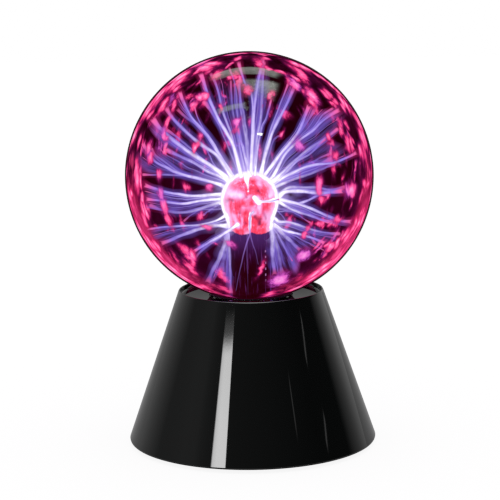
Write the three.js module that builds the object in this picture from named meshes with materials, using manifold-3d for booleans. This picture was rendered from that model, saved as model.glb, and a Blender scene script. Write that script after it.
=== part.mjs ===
// Plasma ball: a 200 mm gas-filled glass globe on a gloss black conical base,
// with a re-entrant glass stem and electrode, and the driver electronics in the base.
//
// Units are millimetres, +Z is up. The origin is the centre of the base on the
// surface that the rubber feet stand on. The front faces -Y; the DC jack and the
// mode switch sit in a recess on the rear, towards +Y.

import * as THREE from 'three';
import { mergeVertices } from 'three/addons/utils/BufferGeometryUtils.js';
import Module from 'manifold-3d';

const wasm = await Module();
wasm.setup();
const { degToRad, radToDeg } = THREE.MathUtils;

// ---------------------------------------------------------------- dimensions
const GAP = 0.3;            // clearance between neighbouring pieces

const GLOBE_R = 100;        // outer radius of the globe
const GLOBE_Z = 218.1;      // height of the globe's centre
const GLOBE_WALL = 2.4;     // glass thickness of the globe
const NECK_R = 23.5;        // outer radius of the globe's neck
const NECK_WALL = 2.3;      // glass thickness of the neck
const NECK_END = 99.0;      // height of the neck's lower edge
const STEM_R = 16.6;        // outer radius of the re-entrant stem tube
const STEM_WALL = 1.3;      // glass thickness of the stem and bulb
const STEM_END = NECK_END - 2.4;
const BULB_R = 21.5;        // outer radius of the electrode bulb
const BULB_Z = 198.5;       // height of the bulb's centre

const BASE_R = 100.9;       // radius of the base at its lower edge
const RIM_R = 59.0;         // outer radius of the rim
const RIM_Z = 125.8;        // height of the rim
const SKIRT_Z = 2.5;        // height of the base's lower edge above the table
const CONE_Z0 = SKIRT_Z + 1.7;  // foot of the conical wall
const CONE_Z1 = RIM_Z - 0.9;    // top of the conical wall
const SHELL_T = 2.75;       // wall of the conical shell, measured level
const LEDGE_Z = 121.6;      // height of the ledge inside the rim
const SEAT_Z = 118.6;       // height of the lower step that the gasket sits on
const LEDGE_T = 2.6;        // thickness of the ledge and of the step

const PLATE_R = 97.0;       // radius of the base plate
const PLATE_Z0 = 2.9;       // underside of the base plate
const PLATE_Z1 = 5.4;       // top of the base plate

const PANEL_Y = 84.5;       // outer face of the flat rear panel
const PANEL_T = 2.5;        // thickness of the panel and the recess walls
const PANEL_IN = PANEL_Y - PANEL_T;  // inner face of the panel
const PANEL_Z = 22;         // height of the controls
const RECESS_HALF_W = 28;
const RECESS_HALF_H = 11;
const SWITCH_X = -12.5;     // centre of the mode switch
const SWITCH_SCREW_X = 12.5;  // its screws, each side of its centre
const SWITCH_PIN_PITCH = 6;
const SWITCH_PIN_Y = 71.6;  // inner ends of its terminals
const LEVER_SLOT = { halfW: 4.7, halfH: 2.2 };
const JACK_X = 16.5;        // centre of the DC jack
const JACK_HOLE_R = 5.8;
const JACK_PIN_X = 2.5;     // its terminals, each side of its centre
const JACK_PIN_Y = 66.5;    // their inner ends

const BOARD_W = 88;
const BOARD_D = 64;
const BOARD_INSET = 4;      // corner holes, in from the board's edges
const BOARD_Z = 13.4;       // underside of the circuit board
const BOARD_TOP = BOARD_Z + 1.6;
const ON_BOARD = BOARD_TOP + GAP;

// ---------------------------------------------------------------- materials
const standard = (settings) => new THREE.MeshStandardMaterial(settings);

const finish = {
  glass: standard({ color: 0xdfe6ea, roughness: 0.04, transparent: true, opacity: 0.25 }),
  gloss: standard({ color: 0x08080a, roughness: 0.12 }),
  black: standard({ color: 0x151517, roughness: 0.55 }),
  rubber: standard({ color: 0x1b1b1c, roughness: 0.9 }),
  silicone: standard({ color: 0xc9c7c0, roughness: 0.5 }),
  wool: standard({ color: 0xff4a66, roughness: 0.7, metalness: 0.2, emissive: 0x8a1830 }),
  foil: standard({ color: 0xb9bcc0, roughness: 0.35, metalness: 0.9 }),
  board: standard({ color: 0x14532f, roughness: 0.45 }),
  ferrite: standard({ color: 0x3a3b3d, roughness: 0.75 }),
  copper: standard({ color: 0xb3642c, roughness: 0.4, metalness: 0.8 }),
  potting: standard({ color: 0x1d1a18, roughness: 0.6 }),
  bobbin: standard({ color: 0xd9d2bd, roughness: 0.55 }),
  steel: standard({ color: 0xb4b7bb, roughness: 0.35, metalness: 0.9 }),
  alu: standard({ color: 0xa9adb1, roughness: 0.45, metalness: 0.9 }),
  sleeve: standard({ color: 0x1c2f57, roughness: 0.45 }),
  film: standard({ color: 0x9c3a22, roughness: 0.5 }),
  chip: standard({ color: 0x18181a, roughness: 0.6 }),
  resistor: standard({ color: 0x6fa3b8, roughness: 0.5 }),
  trimmer: standard({ color: 0x2b5aa8, roughness: 0.5 }),
  white: standard({ color: 0xe8e6df, roughness: 0.5 }),
  red: standard({ color: 0xa31818, roughness: 0.5 }),
  wireBlack: standard({ color: 0x121212, roughness: 0.6 }),
  brass: standard({ color: 0xc2a25a, roughness: 0.35, metalness: 0.9 }),
};

// ---------------------------------------------------------------- solid helpers
// Positions only, shared vertices merged, and no collapsed triangles.
function weld(geometry) {
  const bare = geometry.clone();
  for (const name of Object.keys(bare.attributes)) {
    if (name !== 'position') bare.deleteAttribute(name);
  }
  const merged = mergeVertices(bare, 1e-4);
  const source = merged.index.array;
  const index = [];
  for (let i = 0; i < source.length; i += 3) {
    const [a, b, c] = [source[i], source[i + 1], source[i + 2]];
    if (a !== b && b !== c && c !== a) index.push(a, b, c);
  }
  merged.setIndex(index);
  return merged;
}

function solid(geometry) {
  const welded = weld(geometry);
  return new wasm.Manifold(new wasm.Mesh({
    numProp: 3,
    vertProperties: new Float32Array(welded.attributes.position.array),
    triVerts: new Uint32Array(welded.index.array),
  }));
}

function geometryOf(body) {
  const mesh = body.getMesh();
  const geometry = new THREE.BufferGeometry();
  const positions = new Float32Array(mesh.vertProperties);
  geometry.setAttribute('position', new THREE.BufferAttribute(positions, 3));
  geometry.setIndex(new THREE.BufferAttribute(new Uint32Array(mesh.triVerts), 1));
  return geometry;
}

const fuse = (first, ...rest) =>
  geometryOf(rest.reduce((body, part) => body.add(solid(part)), solid(first)));
const cut = (first, ...rest) =>
  geometryOf(rest.reduce((body, part) => body.subtract(solid(part)), solid(first)));
const common = (first, second) => geometryOf(solid(first).intersect(solid(second)));

// A turned body about Z from [radius, height] points, in either winding.
function turned(points, segments) {
  let area = 0;
  points.forEach(([x0, y0], i) => {
    const [x1, y1] = points[(i + 1) % points.length];
    area += x0 * y1 - x1 * y0;
  });
  const ordered = area > 0 ? points : [...points].reverse();
  const profile = ordered.map(([x, y]) => new THREE.Vector2(x, y));
  const onAxis = profile[0].x === 0 && profile[profile.length - 1].x === 0;
  if (!onAxis) profile.push(profile[0].clone());
  return weld(new THREE.LatheGeometry(profile, segments).rotateX(Math.PI / 2));
}

const tube = (innerR, outerR, z0, z1, segments) =>
  turned([[innerR, z0], [outerR, z0], [outerR, z1], [innerR, z1]], segments);

const block = (x0, x1, y0, y1, z0, z1) =>
  weld(new THREE.BoxGeometry(x1 - x0, y1 - y0, z1 - z0)
    .translate((x0 + x1) / 2, (y0 + y1) / 2, (z0 + z1) / 2));

// A cylinder along Z from z0 to z1.
const post = (radius, z0, z1, segments, x = 0, y = 0) =>
  weld(new THREE.CylinderGeometry(radius, radius, z1 - z0, segments)
    .rotateX(Math.PI / 2).translate(x, y, (z0 + z1) / 2));

// The same post at each [x, y] place.
const posts = (places, radius, z0, z1, segments) =>
  places.map(([x, y]) => post(radius, z0, z1, segments, x, y));

// A cylinder along Y from y0 to y1.
const bar = (radius, y0, y1, segments, x = 0, z = 0) =>
  weld(new THREE.CylinderGeometry(radius, radius, y1 - y0, segments)
    .translate(x, (y0 + y1) / 2, z));

// A flat outline, drawn in XY and extruded from z0 to z1.
function slab(outline, z0, z1) {
  const shape = new THREE.Shape(outline.map(([x, y]) => new THREE.Vector2(x, y)));
  return weld(new THREE.ExtrudeGeometry(shape, { depth: z1 - z0, bevelEnabled: false })
    .translate(0, 0, z0));
}

function roundedOutline(width, depth, radius) {
  const steps = 2;
  const corners = [[1, 1, 0], [-1, 1, 90], [-1, -1, 180], [1, -1, 270]];  // sides, start angle
  return corners.flatMap(([sideX, sideY, start]) =>
    Array.from({ length: steps + 1 }, (_, i) => {
      const [x, y] = polar(radius, start + (90 * i) / steps);
      return [sideX * (width / 2 - radius) + x, sideY * (depth / 2 - radius) + y];
    }));
}

// A six-sided wire along a smooth curve.
function wire(radius, points, steps) {
  const sides = 6;
  const ring = new THREE.Shape();
  for (let i = 0; i < sides; i++) {
    const angle = (i * 2 * Math.PI) / sides;
    ring[i ? 'lineTo' : 'moveTo'](radius * Math.cos(angle), radius * Math.sin(angle));
  }
  ring.closePath();
  const extrudePath = new THREE.CatmullRomCurve3(points.map((p) => new THREE.Vector3(...p)));
  return weld(new THREE.ExtrudeGeometry(ring, { steps, bevelEnabled: false, extrudePath }));
}

// A cross-recess screw: the head's underside is at z = 0, the head points up.
function screw({ headR, headH, shankR, length }) {
  const body = turned([
    [0, -length], [shankR, -length + shankR], [shankR, 0],
    [headR, 0], [headR * 0.96, headH * 0.5], [headR * 0.6, headH], [0, headH],
  ], 10);
  const slotW = headR * 0.15;
  const slotL = headR * 0.62;
  return cut(body,
    block(-slotL, slotL, -slotW, slotW, headH * 0.45, headH + 1),
    block(-slotW, slotW, -slotL, slotL, headH * 0.45, headH + 1));
}

// [radius, height] points on an arc centred on the axis; angles in degrees from level.
const arcPoints = (centreZ, radius, from, to, steps) =>
  Array.from({ length: steps + 1 }, (_, i) => {
    const [x, z] = polar(radius, from + ((to - from) * i) / steps);
    return [Math.abs(x) < 1e-9 ? 0 : x, centreZ + z];
  });

function polar(radius, degrees) {
  const angle = degToRad(degrees);
  return [radius * Math.cos(angle), radius * Math.sin(angle)];
}

// ---------------------------------------------------------------- scene graph
const ball = new THREE.Group();
const globeGroup = new THREE.Group();
const baseGroup = new THREE.Group();
const driverGroup = new THREE.Group();
const controlGroup = new THREE.Group();
ball.add(globeGroup, baseGroup);
baseGroup.add(driverGroup, controlGroup);
globeGroup.position.set(0, 0, GLOBE_Z);
controlGroup.position.set(0, 0, PANEL_Z);

function add(group, name, geometry, material, position = [0, 0, 0], rotation = [0, 0, 0]) {
  const own = geometry.clone();
  own.computeVertexNormals();
  const mesh = new THREE.Mesh(own, material);
  mesh.name = name;
  mesh.position.set(...position);
  mesh.rotation.set(...rotation);
  group.add(mesh);
}

const HEAD_DOWN = [Math.PI, 0, 0];
const HEAD_FRONT = [Math.PI / 2, 0, 0];
const HEAD_REAR = [-Math.PI / 2, 0, 0];

// Numbered steel screws, one at each [x, y] place.
function addScrews(group, name, sizes, places, z, rotation) {
  const geometry = screw(sizes);
  places.forEach(([x, y], i) => {
    add(group, `${name}_${i + 1}`, geometry, finish.steel, [x, y, z], rotation);
  });
}

// ---------------------------------------------------------------- globe
// The globe is drawn about its own centre. The other pieces are drawn at their
// height above the table and lowered into the globe group's frame.
const fromCentre = (z) => z - GLOBE_Z;
const LOWERED = [0, 0, -GLOBE_Z];

function globeGlass() {
  const innerR = GLOBE_R - GLOBE_WALL;
  // Angle at which the lower half of a sphere has the given level radius.
  const lowerAngle = (levelR, sphereR) => -radToDeg(Math.acos(levelR / sphereR));
  return turned([
    [NECK_R, fromCentre(NECK_END)], [NECK_R, fromCentre(118.4)],
    [NECK_R + 0.5, fromCentre(120.3)],
    ...arcPoints(0, GLOBE_R, lowerAngle(26, GLOBE_R), -50, 2),
    ...arcPoints(0, GLOBE_R, -37.5, 90, 10),
    ...arcPoints(0, innerR, 90, -45, 9),
    ...arcPoints(0, innerR, -60, lowerAngle(24.4, innerR), 1),
    [NECK_R - 2.0, fromCentre(121.6)], [NECK_R - NECK_WALL, fromCentre(120)],
    [NECK_R - NECK_WALL, fromCentre(NECK_END)],
  ], 36);
}
add(globeGroup, 'globe_glass', globeGlass(), finish.glass);

// The stem closes the neck with a flare, and runs up to the bulb.
function stemGlass() {
  const flareR = NECK_R - 0.1;
  const flareZ = NECK_END - GAP;
  // [outer radius, height] up the tube to the bulb.
  const side = [
    [STEM_R, 108], [STEM_R, 164], [16.9, 173], [17.6, 178.8], [19.0, 184.5], [20.6, 190.5],
  ];
  return turned([
    [flareR, STEM_END], [flareR, flareZ], [20.8, flareZ], [18.9, 100.4], [17.3, 103.6],
    ...side,
    ...arcPoints(BULB_Z, BULB_R, -8, 90, 6),
    ...arcPoints(BULB_Z, BULB_R - STEM_WALL, 90, -8, 6),
    ...side.map(([r, z]) => [r - STEM_WALL, z]).reverse(),
    [16.0, 102.6], [17.6, 98.9], [19.8, STEM_END],
  ], 24);
}
add(globeGroup, 'stem_glass', stemGlass(), finish.glass, LOWERED);

// The conductive liner follows the bulb's inside and is open at the bottom for the lead.
const liner = turned([
  [6, 171.8], [10, 173.2], [13.4, 176.0], [15.2, 179.8], [17.3, 186.2], [18.7, 191.2],
  ...arcPoints(BULB_Z, 19.7, -6, 90, 5),
  ...arcPoints(BULB_Z, 18.5, 90, -6, 5),
  [17.5, 191.5], [16.1, 186.6], [14.0, 180.2], [12.3, 176.9], [9.4, 174.5], [6, 173.2],
], 20);
add(globeGroup, 'electrode_liner', liner, finish.wool, LOWERED);

add(globeGroup, 'foil_roll', tube(11.9, 12.7, 106, 171.2, 20), finish.foil, LOWERED);

const exhaustTip = turned([[0, 84.6], [1.3, 85.6], [2.5, 89.5], [2.5, 96.2], [0, 96.2]], 10);
add(globeGroup, 'exhaust_tip', exhaustTip, finish.glass, [0, 19.4, -GLOBE_Z]);

// ---------------------------------------------------------------- base shell
const PLATE_SCREWS = [-90, 30, 150].map((angle) => polar(86, angle));
const COLLAR_SCREWS = [90, 210, 330].map((angle) => polar(42, angle));
const COLLAR_BOSS_Z = 110;  // lower ends of the collar bosses

function baseShell() {
  const slope = (BASE_R - RIM_R) / (CONE_Z1 - CONE_Z0);
  const ledgeUnder = LEDGE_Z - LEDGE_T;
  const seatUnder = SEAT_Z - LEDGE_T;
  const outside = [
    [BASE_R - 1.8, SKIRT_Z], [BASE_R - 0.5, SKIRT_Z + 0.5], [BASE_R, CONE_Z0],
    [RIM_R, CONE_Z1], [RIM_R - 0.3, RIM_Z - 0.25], [RIM_R - 0.8, RIM_Z],
  ];
  const envelope = turned([[0, SKIRT_Z], ...outside, [0, RIM_Z]], 48);
  const cone = turned([
    ...outside,
    [57.4, RIM_Z - 0.2], [56.5, LEDGE_Z + 0.5], [55.9, LEDGE_Z],
    [34.0, LEDGE_Z], [34.0, SEAT_Z], [27.7, SEAT_Z], [27.7, seatUnder],
    [36.4, seatUnder], [36.4, ledgeUnder],
    [BASE_R - slope * (ledgeUnder - CONE_Z0) - SHELL_T, ledgeUnder],
    [BASE_R - 2.9, SKIRT_Z],
  ], 48);
  // The plate's screw bosses run up into the conical wall; the collar's hang under the ledge.
  const plateBosses = posts(PLATE_SCREWS, 4.6, PLATE_Z1 + GAP, 48, 12)
    .map((boss) => common(envelope, boss));
  const collarBosses = posts(COLLAR_SCREWS, 4, COLLAR_BOSS_Z, LEDGE_Z - 1, 10);
  // The rear recess: a flat panel with side walls, cut into the cone.
  const boxHalfW = RECESS_HALF_W + PANEL_T;
  const boxHalfH = RECESS_HALF_H + PANEL_T;
  const panelBox = common(envelope,
    block(-boxHalfW, boxHalfW, PANEL_IN, 104, PANEL_Z - boxHalfH, PANEL_Z + boxHalfH));
  const panelHole = (radius, x, segments) =>
    bar(radius, PANEL_Y - 5, PANEL_Y + 1, segments, x, PANEL_Z);
  return cut(fuse(cone, ...plateBosses, ...collarBosses, panelBox),
    block(-RECESS_HALF_W, RECESS_HALF_W, PANEL_Y, 110,
      PANEL_Z - RECESS_HALF_H, PANEL_Z + RECESS_HALF_H),
    block(SWITCH_X - LEVER_SLOT.halfW, SWITCH_X + LEVER_SLOT.halfW, PANEL_Y - 5, PANEL_Y + 1,
      PANEL_Z - LEVER_SLOT.halfH, PANEL_Z + LEVER_SLOT.halfH),
    panelHole(JACK_HOLE_R, JACK_X, 20),
    panelHole(1.45, SWITCH_X - SWITCH_SCREW_X, 10),
    panelHole(1.45, SWITCH_X + SWITCH_SCREW_X, 10),
    ...posts(PLATE_SCREWS, 1.6, PLATE_Z1 - 1, 22, 10),
    ...posts(COLLAR_SCREWS, 1.6, COLLAR_BOSS_Z - 1, 119.4, 10));
}
add(baseGroup, 'base_shell', baseShell(), finish.gloss);

// ---------------------------------------------------------------- globe seat
// The gasket's top follows the underside of the globe.
function seatGasket() {
  const globeUnder = (r) => GLOBE_Z - Math.sqrt(GLOBE_R ** 2 - r ** 2);
  return turned([
    [28.2, SEAT_Z + GAP], [33.4, SEAT_Z + GAP],
    [33.4, globeUnder(33.4) - 1.2], [32.6, globeUnder(32.6) - GAP],
    [28.6, globeUnder(28.6) - GAP - 0.1], [28.2, globeUnder(28.2) - 0.8],
  ], 36);
}
add(baseGroup, 'seat_gasket', seatGasket(), finish.rubber);

add(baseGroup, 'neck_bond', turned([
  [NECK_R + GAP, 100.4], [25.0, 100.0], [25.0, 112.4], [NECK_R + GAP, 113.0],
], 24), finish.silicone);

// A sleeve round the neck with a flange screwed up to the collar bosses.
const FLANGE_Z1 = COLLAR_BOSS_Z - GAP;
const FLANGE_Z0 = FLANGE_Z1 - 2.5;
add(baseGroup, 'neck_collar', cut(turned([
  [25.4, 98.6], [28.4, 98.6], [28.4, FLANGE_Z0], [47.0, FLANGE_Z0], [47.0, FLANGE_Z1],
  [28.4, FLANGE_Z1], [28.4, 113.4], [25.4, 113.4],
], 28), ...posts(COLLAR_SCREWS, 1.9, 105, 112, 10)), finish.black);
addScrews(baseGroup, 'collar_screw', { headR: 3.2, headH: 2.0, shankR: 1.2, length: 9.6 },
  COLLAR_SCREWS, FLANGE_Z0 - GAP, HEAD_DOWN);

// ---------------------------------------------------------------- base plate and feet
const FOOT_AT = 82;         // feet, out from the centre
const FEET = {
  foot_rear_right: polar(FOOT_AT, 45),
  foot_rear_left: polar(FOOT_AT, 135),
  foot_front_left: polar(FOOT_AT, 225),
  foot_front_right: polar(FOOT_AT, 315),
};
const FOOT_SEAT_Z = PLATE_Z0 + 0.5;   // roof of each foot's pocket
const SCREW_SEAT_Z = PLATE_Z0 + 1.3;  // roof of each screw's counterbore
const BOARD_HOLES = [[1, 1], [-1, 1], [-1, -1], [1, -1]].map(([sideX, sideY]) =>
  [sideX * (BOARD_W / 2 - BOARD_INSET), sideY * (BOARD_D / 2 - BOARD_INSET)]);

function basePlate() {
  const below = PLATE_Z0 - 1;
  const above = PLATE_Z1 + 1;
  const disc = turned([
    [0, PLATE_Z0], [PLATE_R - 0.5, PLATE_Z0], [PLATE_R, PLATE_Z0 + 0.5],
    [PLATE_R, PLATE_Z1], [0, PLATE_Z1],
  ], 48);
  const vents = [17, 20, 17].length && [20, 17, 20, 17, 20].map((halfLength, i) => {
    const x = (i - 2) * 8;
    return block(x - 1.4, x + 1.4, -halfLength, halfLength, below, above);
  });
  return cut(fuse(disc, ...posts(BOARD_HOLES, 3.6, PLATE_Z1 - 0.5, BOARD_Z - GAP, 10)),
    ...vents,
    ...posts(BOARD_HOLES, 1.3, PLATE_Z0 + 2.2, BOARD_Z + 1, 8),
    ...posts(PLATE_SCREWS, 1.9, below, above, 10),
    ...posts(PLATE_SCREWS, 3.9, below, SCREW_SEAT_Z, 12),
    ...posts(Object.values(FEET), 10.6, below, FOOT_SEAT_Z, 20));
}
add(baseGroup, 'base_plate', basePlate(), finish.black);

const footTop = FOOT_SEAT_Z - GAP;
const foot = turned([[0, 0], [8.8, 0], [9.6, 0.5], [10.2, footTop], [0, footTop]], 20);
for (const [name, [x, y]] of Object.entries(FEET)) {
  add(baseGroup, name, foot, finish.rubber, [x, y, 0]);
}
addScrews(baseGroup, 'plate_screw', { headR: 3.4, headH: 1.0, shankR: 1.25, length: 12 },
  PLATE_SCREWS, SCREW_SEAT_Z - GAP, HEAD_DOWN);

// ---------------------------------------------------------------- circuit board
add(driverGroup, 'driver_board', cut(
  slab(roundedOutline(BOARD_W, BOARD_D, 3), BOARD_Z, BOARD_TOP),
  ...posts(BOARD_HOLES, 1.7, BOARD_Z - 1, BOARD_TOP + 1, 10),
), finish.board);
addScrews(driverGroup, 'board_screw', { headR: 2.9, headH: 1.9, shankR: 1.0, length: 8 },
  BOARD_HOLES, ON_BOARD);

// Flyback transformer: a two-part ferrite ring, wound on its right-hand leg.
const CORE = { x0: -36, x1: 0, thick: 10, joint: 40, top: 64 };
const COIL_X = CORE.x1 - CORE.thick / 2;
const COIL_Z0 = ON_BOARD + CORE.thick + GAP;
const COIL_Z1 = CORE.top - CORE.thick - GAP;

// Half of the ring: a crossbar from barZ0 up, and two legs from legZ0 to legZ1.
function coreHalf(barZ0, legZ0, legZ1) {
  const { x0, x1, thick } = CORE;
  return fuse(
    block(x0, x1, -thick / 2, thick / 2, barZ0, barZ0 + thick),
    block(x0, x0 + thick, -thick / 2, thick / 2, legZ0, legZ1),
    block(x1 - thick, x1, -thick / 2, thick / 2, legZ0, legZ1));
}
const upperBarZ = CORE.top - CORE.thick;
add(driverGroup, 'core_lower',
  coreHalf(ON_BOARD, ON_BOARD + CORE.thick - 1, CORE.joint - GAP / 2), finish.ferrite);
add(driverGroup, 'core_upper',
  coreHalf(upperBarZ, CORE.joint + GAP / 2, upperBarZ + 1), finish.ferrite);

const BOBBIN = { tubeR: 8.6, flangeR: 16.8, flangeT: 1.2 };
function coilBobbin() {
  const { tubeR, flangeR, flangeT } = BOBBIN;
  const hole = CORE.thick / 2 + GAP;
  return cut(turned([
    [0, COIL_Z0], [flangeR, COIL_Z0], [flangeR, COIL_Z0 + flangeT], [tubeR, COIL_Z0 + flangeT],
    [tubeR, COIL_Z1 - flangeT], [flangeR, COIL_Z1 - flangeT], [flangeR, COIL_Z1], [0, COIL_Z1],
  ], 20), block(-hole, hole, -hole, hole, COIL_Z0 - 1, COIL_Z1 + 1));
}
function winding(innerR, outerR, segments) {
  const margin = BOBBIN.flangeT + GAP;
  return tube(innerR, outerR, COIL_Z0 + margin, COIL_Z1 - margin, segments);
}
const coilAt = [COIL_X, 0, 0];
add(driverGroup, 'coil_bobbin', coilBobbin(), finish.bobbin, coilAt);
add(driverGroup, 'primary_winding', winding(BOBBIN.tubeR + GAP, 11.3, 18), finish.copper, coilAt);
add(driverGroup, 'hv_winding', winding(11.7, 16.3, 20), finish.potting, coilAt);

// Power transistor on its finned heatsink; one screw holds its tab to the front face.
const SINK = { x: 27, halfW: 9, frontY: 9, rootY: 11.6, tipY: 22, screwZ: 35 };
const TAB_Y = 7.5;          // front face of the tab

function heatsink() {
  const fins = 5;
  const pitch = 4.1;
  const thick = 1.6;
  const { frontY, rootY, tipY } = SINK;
  const right = SINK.x + SINK.halfW;
  const outline = [[SINK.x - SINK.halfW, frontY], [right, frontY]];
  for (let i = 0; i < fins; i++) {
    const x = right - i * pitch;
    outline.push([x, tipY], [x - thick, tipY]);
    if (i < fins - 1) outline.push([x - thick, rootY], [x - pitch, rootY]);
  }
  return cut(slab(outline, ON_BOARD, 46), bar(1.2, 8, 11, 8, SINK.x, SINK.screwZ));
}
add(driverGroup, 'heatsink', heatsink(), finish.alu);

function powerTransistor() {
  const { x, screwZ } = SINK;
  const back = SINK.frontY - GAP;
  return cut(fuse(
    block(x - 5, x + 5, 4.6, back, 20, 29),
    block(x - 5, x + 5, TAB_Y, back, 28, 38.5),
    ...[-2.3, 0, 2.3].map((dx) =>
      block(x + dx - 0.5, x + dx + 0.5, 6.2, 6.9, ON_BOARD, 20.5)),
  ), bar(1.8, 6, 10, 10, x, screwZ));
}
add(driverGroup, 'power_transistor', powerTransistor(), finish.chip);
add(driverGroup, 'transistor_screw',
  screw({ headR: 2.9, headH: 1.8, shankR: 0.85, length: 3.2 }), finish.steel,
  [SINK.x, TAB_Y - GAP, SINK.screwZ], HEAD_FRONT);

// Capacitors: two grooved cans and a rounded box.
const can = (radius, height) => turned([
  [0, 0], [radius, 0.3], [radius, 1.6], [radius - 0.5, 2.1], [radius, 2.6],
  [radius, height - 0.6], [radius - 0.6, height], [0, height],
], 16);
add(driverGroup, 'bulk_capacitor', can(8, 24), finish.sleeve, [30, -15, ON_BOARD]);
add(driverGroup, 'filter_capacitor', can(5, 13), finish.sleeve, [13.5, -24, ON_BOARD]);
add(driverGroup, 'film_capacitor', slab(roundedOutline(17, 7, 1.4), 0, 13), finish.film,
  [-8, -25, ON_BOARD]);

// Eight-pin chip with bent pins along both long sides.
const pinXs = [-1.5, -0.5, 0.5, 1.5].map((n) => n * 2.54);
const controlChip = fuse(
  block(-4.8, 4.8, -3.1, 3.1, 1.0, 4.4),
  ...pinXs.flatMap((x) => [
    [2.6, 3.9, 2.4], [3.6, 3.9, 0], [-3.9, -2.6, 2.4], [-3.9, -3.6, 0],  // y0, y1, z0
  ].map(([y0, y1, z0]) => block(x - 0.35, x + 0.35, y0, y1, z0, 2.8))));
add(driverGroup, 'control_ic', controlChip, finish.chip, [-27, -24, ON_BOARD]);

const resistor = fuse(
  turned([
    [0, -4.6], [1.7, -4.2], [1.7, -3.0], [1.4, -2.4],
    [1.4, 2.4], [1.7, 3.0], [1.7, 4.2], [0, 4.6],
  ], 8).rotateY(Math.PI / 2).translate(0, 0, 2.1),
  block(-6.2, 6.2, -0.3, 0.3, 1.8, 2.4),
  block(-6.2, -5.6, -0.3, 0.3, 0, 2.4),
  block(5.6, 6.2, -0.3, 0.3, 0, 2.4));
add(driverGroup, 'resistor_1', resistor, finish.resistor, [-8, 22, ON_BOARD]);
add(driverGroup, 'resistor_2', resistor, finish.resistor, [-8, 27.5, ON_BOARD]);

// Sensitivity trimmer: a slotted rotor turns in a square base.
const trimmerAt = [-27.5, 23, ON_BOARD];
add(driverGroup, 'trimmer_base', cut(
  block(-4.8, 4.8, -4.8, 4.8, 0, 4.6), post(3.6, 2.2, 6, 20),
), finish.trimmer, trimmerAt);
add(driverGroup, 'trimmer_rotor', cut(
  turned([[0, 2.5], [3.3, 2.5], [3.3, 4.9], [3.0, 5.2], [0, 5.2]], 20),
  block(-2.6, 2.6, -0.45, 0.45, 4.3, 6),
), finish.white, trimmerAt);

// Electret microphone for the sound-reactive mode.
add(driverGroup, 'microphone', cut(
  turned([[0, 0], [4.85, 0], [4.85, 6.2], [4.5, 6.6], [0, 6.6]], 16), post(0.9, 5.4, 8, 8),
), finish.alu, [-38.2, -13, ON_BOARD]);

// ---------------------------------------------------------------- rear controls
// Drawn about the height of the controls.
const jackAt = [JACK_X, 0, 0];
const switchAt = [SWITCH_X, 0, 0];
const BEHIND_PANEL = PANEL_IN - GAP;
const SOCKET_Y = 75.0;      // floor of the jack's socket
const JACK_PIN_L = 8.6;     // length of the pin in the socket

add(controlGroup, 'dc_jack', cut(fuse(
  bar(5.5, 71.5, PANEL_Y + GAP + 0.2, 20),
  bar(7.2, PANEL_Y + GAP, PANEL_Y + 1.7, 24),
  ...[-JACK_PIN_X, JACK_PIN_X].map((x) => block(x - 0.9, x + 0.9, JACK_PIN_Y, 72, -0.4, 0.4)),
), bar(2.95, SOCKET_Y, PANEL_Y + 3, 16)), finish.black, jackAt);
add(controlGroup, 'dc_jack_pin', weld(new THREE.CylinderGeometry(0.85, 1.05, JACK_PIN_L, 10)
  .translate(0, SOCKET_Y + GAP + JACK_PIN_L / 2, 0)), finish.brass, jackAt);
add(controlGroup, 'dc_jack_nut', cut(
  bar(7.9, BEHIND_PANEL - 2.4, BEHIND_PANEL, 6), bar(JACK_HOLE_R, 70, 90, 20),
), finish.steel, jackAt);

function modeSwitch() {
  const { halfW, halfH } = LEVER_SLOT;
  return cut(fuse(
    block(-9, 9, 74.8, BEHIND_PANEL, -3.6, 3.6),
    block(-15.4, 15.4, BEHIND_PANEL - 1.1, BEHIND_PANEL, -3.6, 3.6),
    ...[-SWITCH_PIN_PITCH, 0, SWITCH_PIN_PITCH].map((x) =>
      block(x - 0.6, x + 0.6, SWITCH_PIN_Y, 75.2, -0.4, 0.4)),
  ),
  block(-halfW, halfW, 77.6, 90, -halfH, halfH),
  bar(1.0, 78, 90, 8, -SWITCH_SCREW_X),
  bar(1.0, 78, 90, 8, SWITCH_SCREW_X));
}
add(controlGroup, 'mode_switch', modeSwitch(), finish.steel, switchAt);

const leverGrooves = [-1.3, 0, 1.3].map((x) =>
  block(x - 0.28, x + 0.28, PANEL_Y + 3.2, PANEL_Y + 5, -3, 3));
add(controlGroup, 'mode_switch_lever', cut(
  block(-1.9, 1.9, 77.9, PANEL_Y + 3.8, -1.9, 1.9), ...leverGrooves,
), finish.black, switchAt);
addScrews(controlGroup, 'switch_screw', { headR: 2.5, headH: 1.5, shankR: 0.7, length: 5.6 },
  [-SWITCH_SCREW_X, SWITCH_SCREW_X].map((x) => [SWITCH_X + x, PANEL_Y + GAP]), 0, HEAD_REAR);

// ---------------------------------------------------------------- wiring
add(baseGroup, 'hv_lead', wire(1.5, [
  [0, 0, 176], [0, 0, 150], [0, 0, 110], [1.5, 0, 92], [6, 0, 76], [8.6, 0, 64],
  [8.8, 0, COIL_Z1 + GAP + 0.2],
], 12), finish.red);

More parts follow.
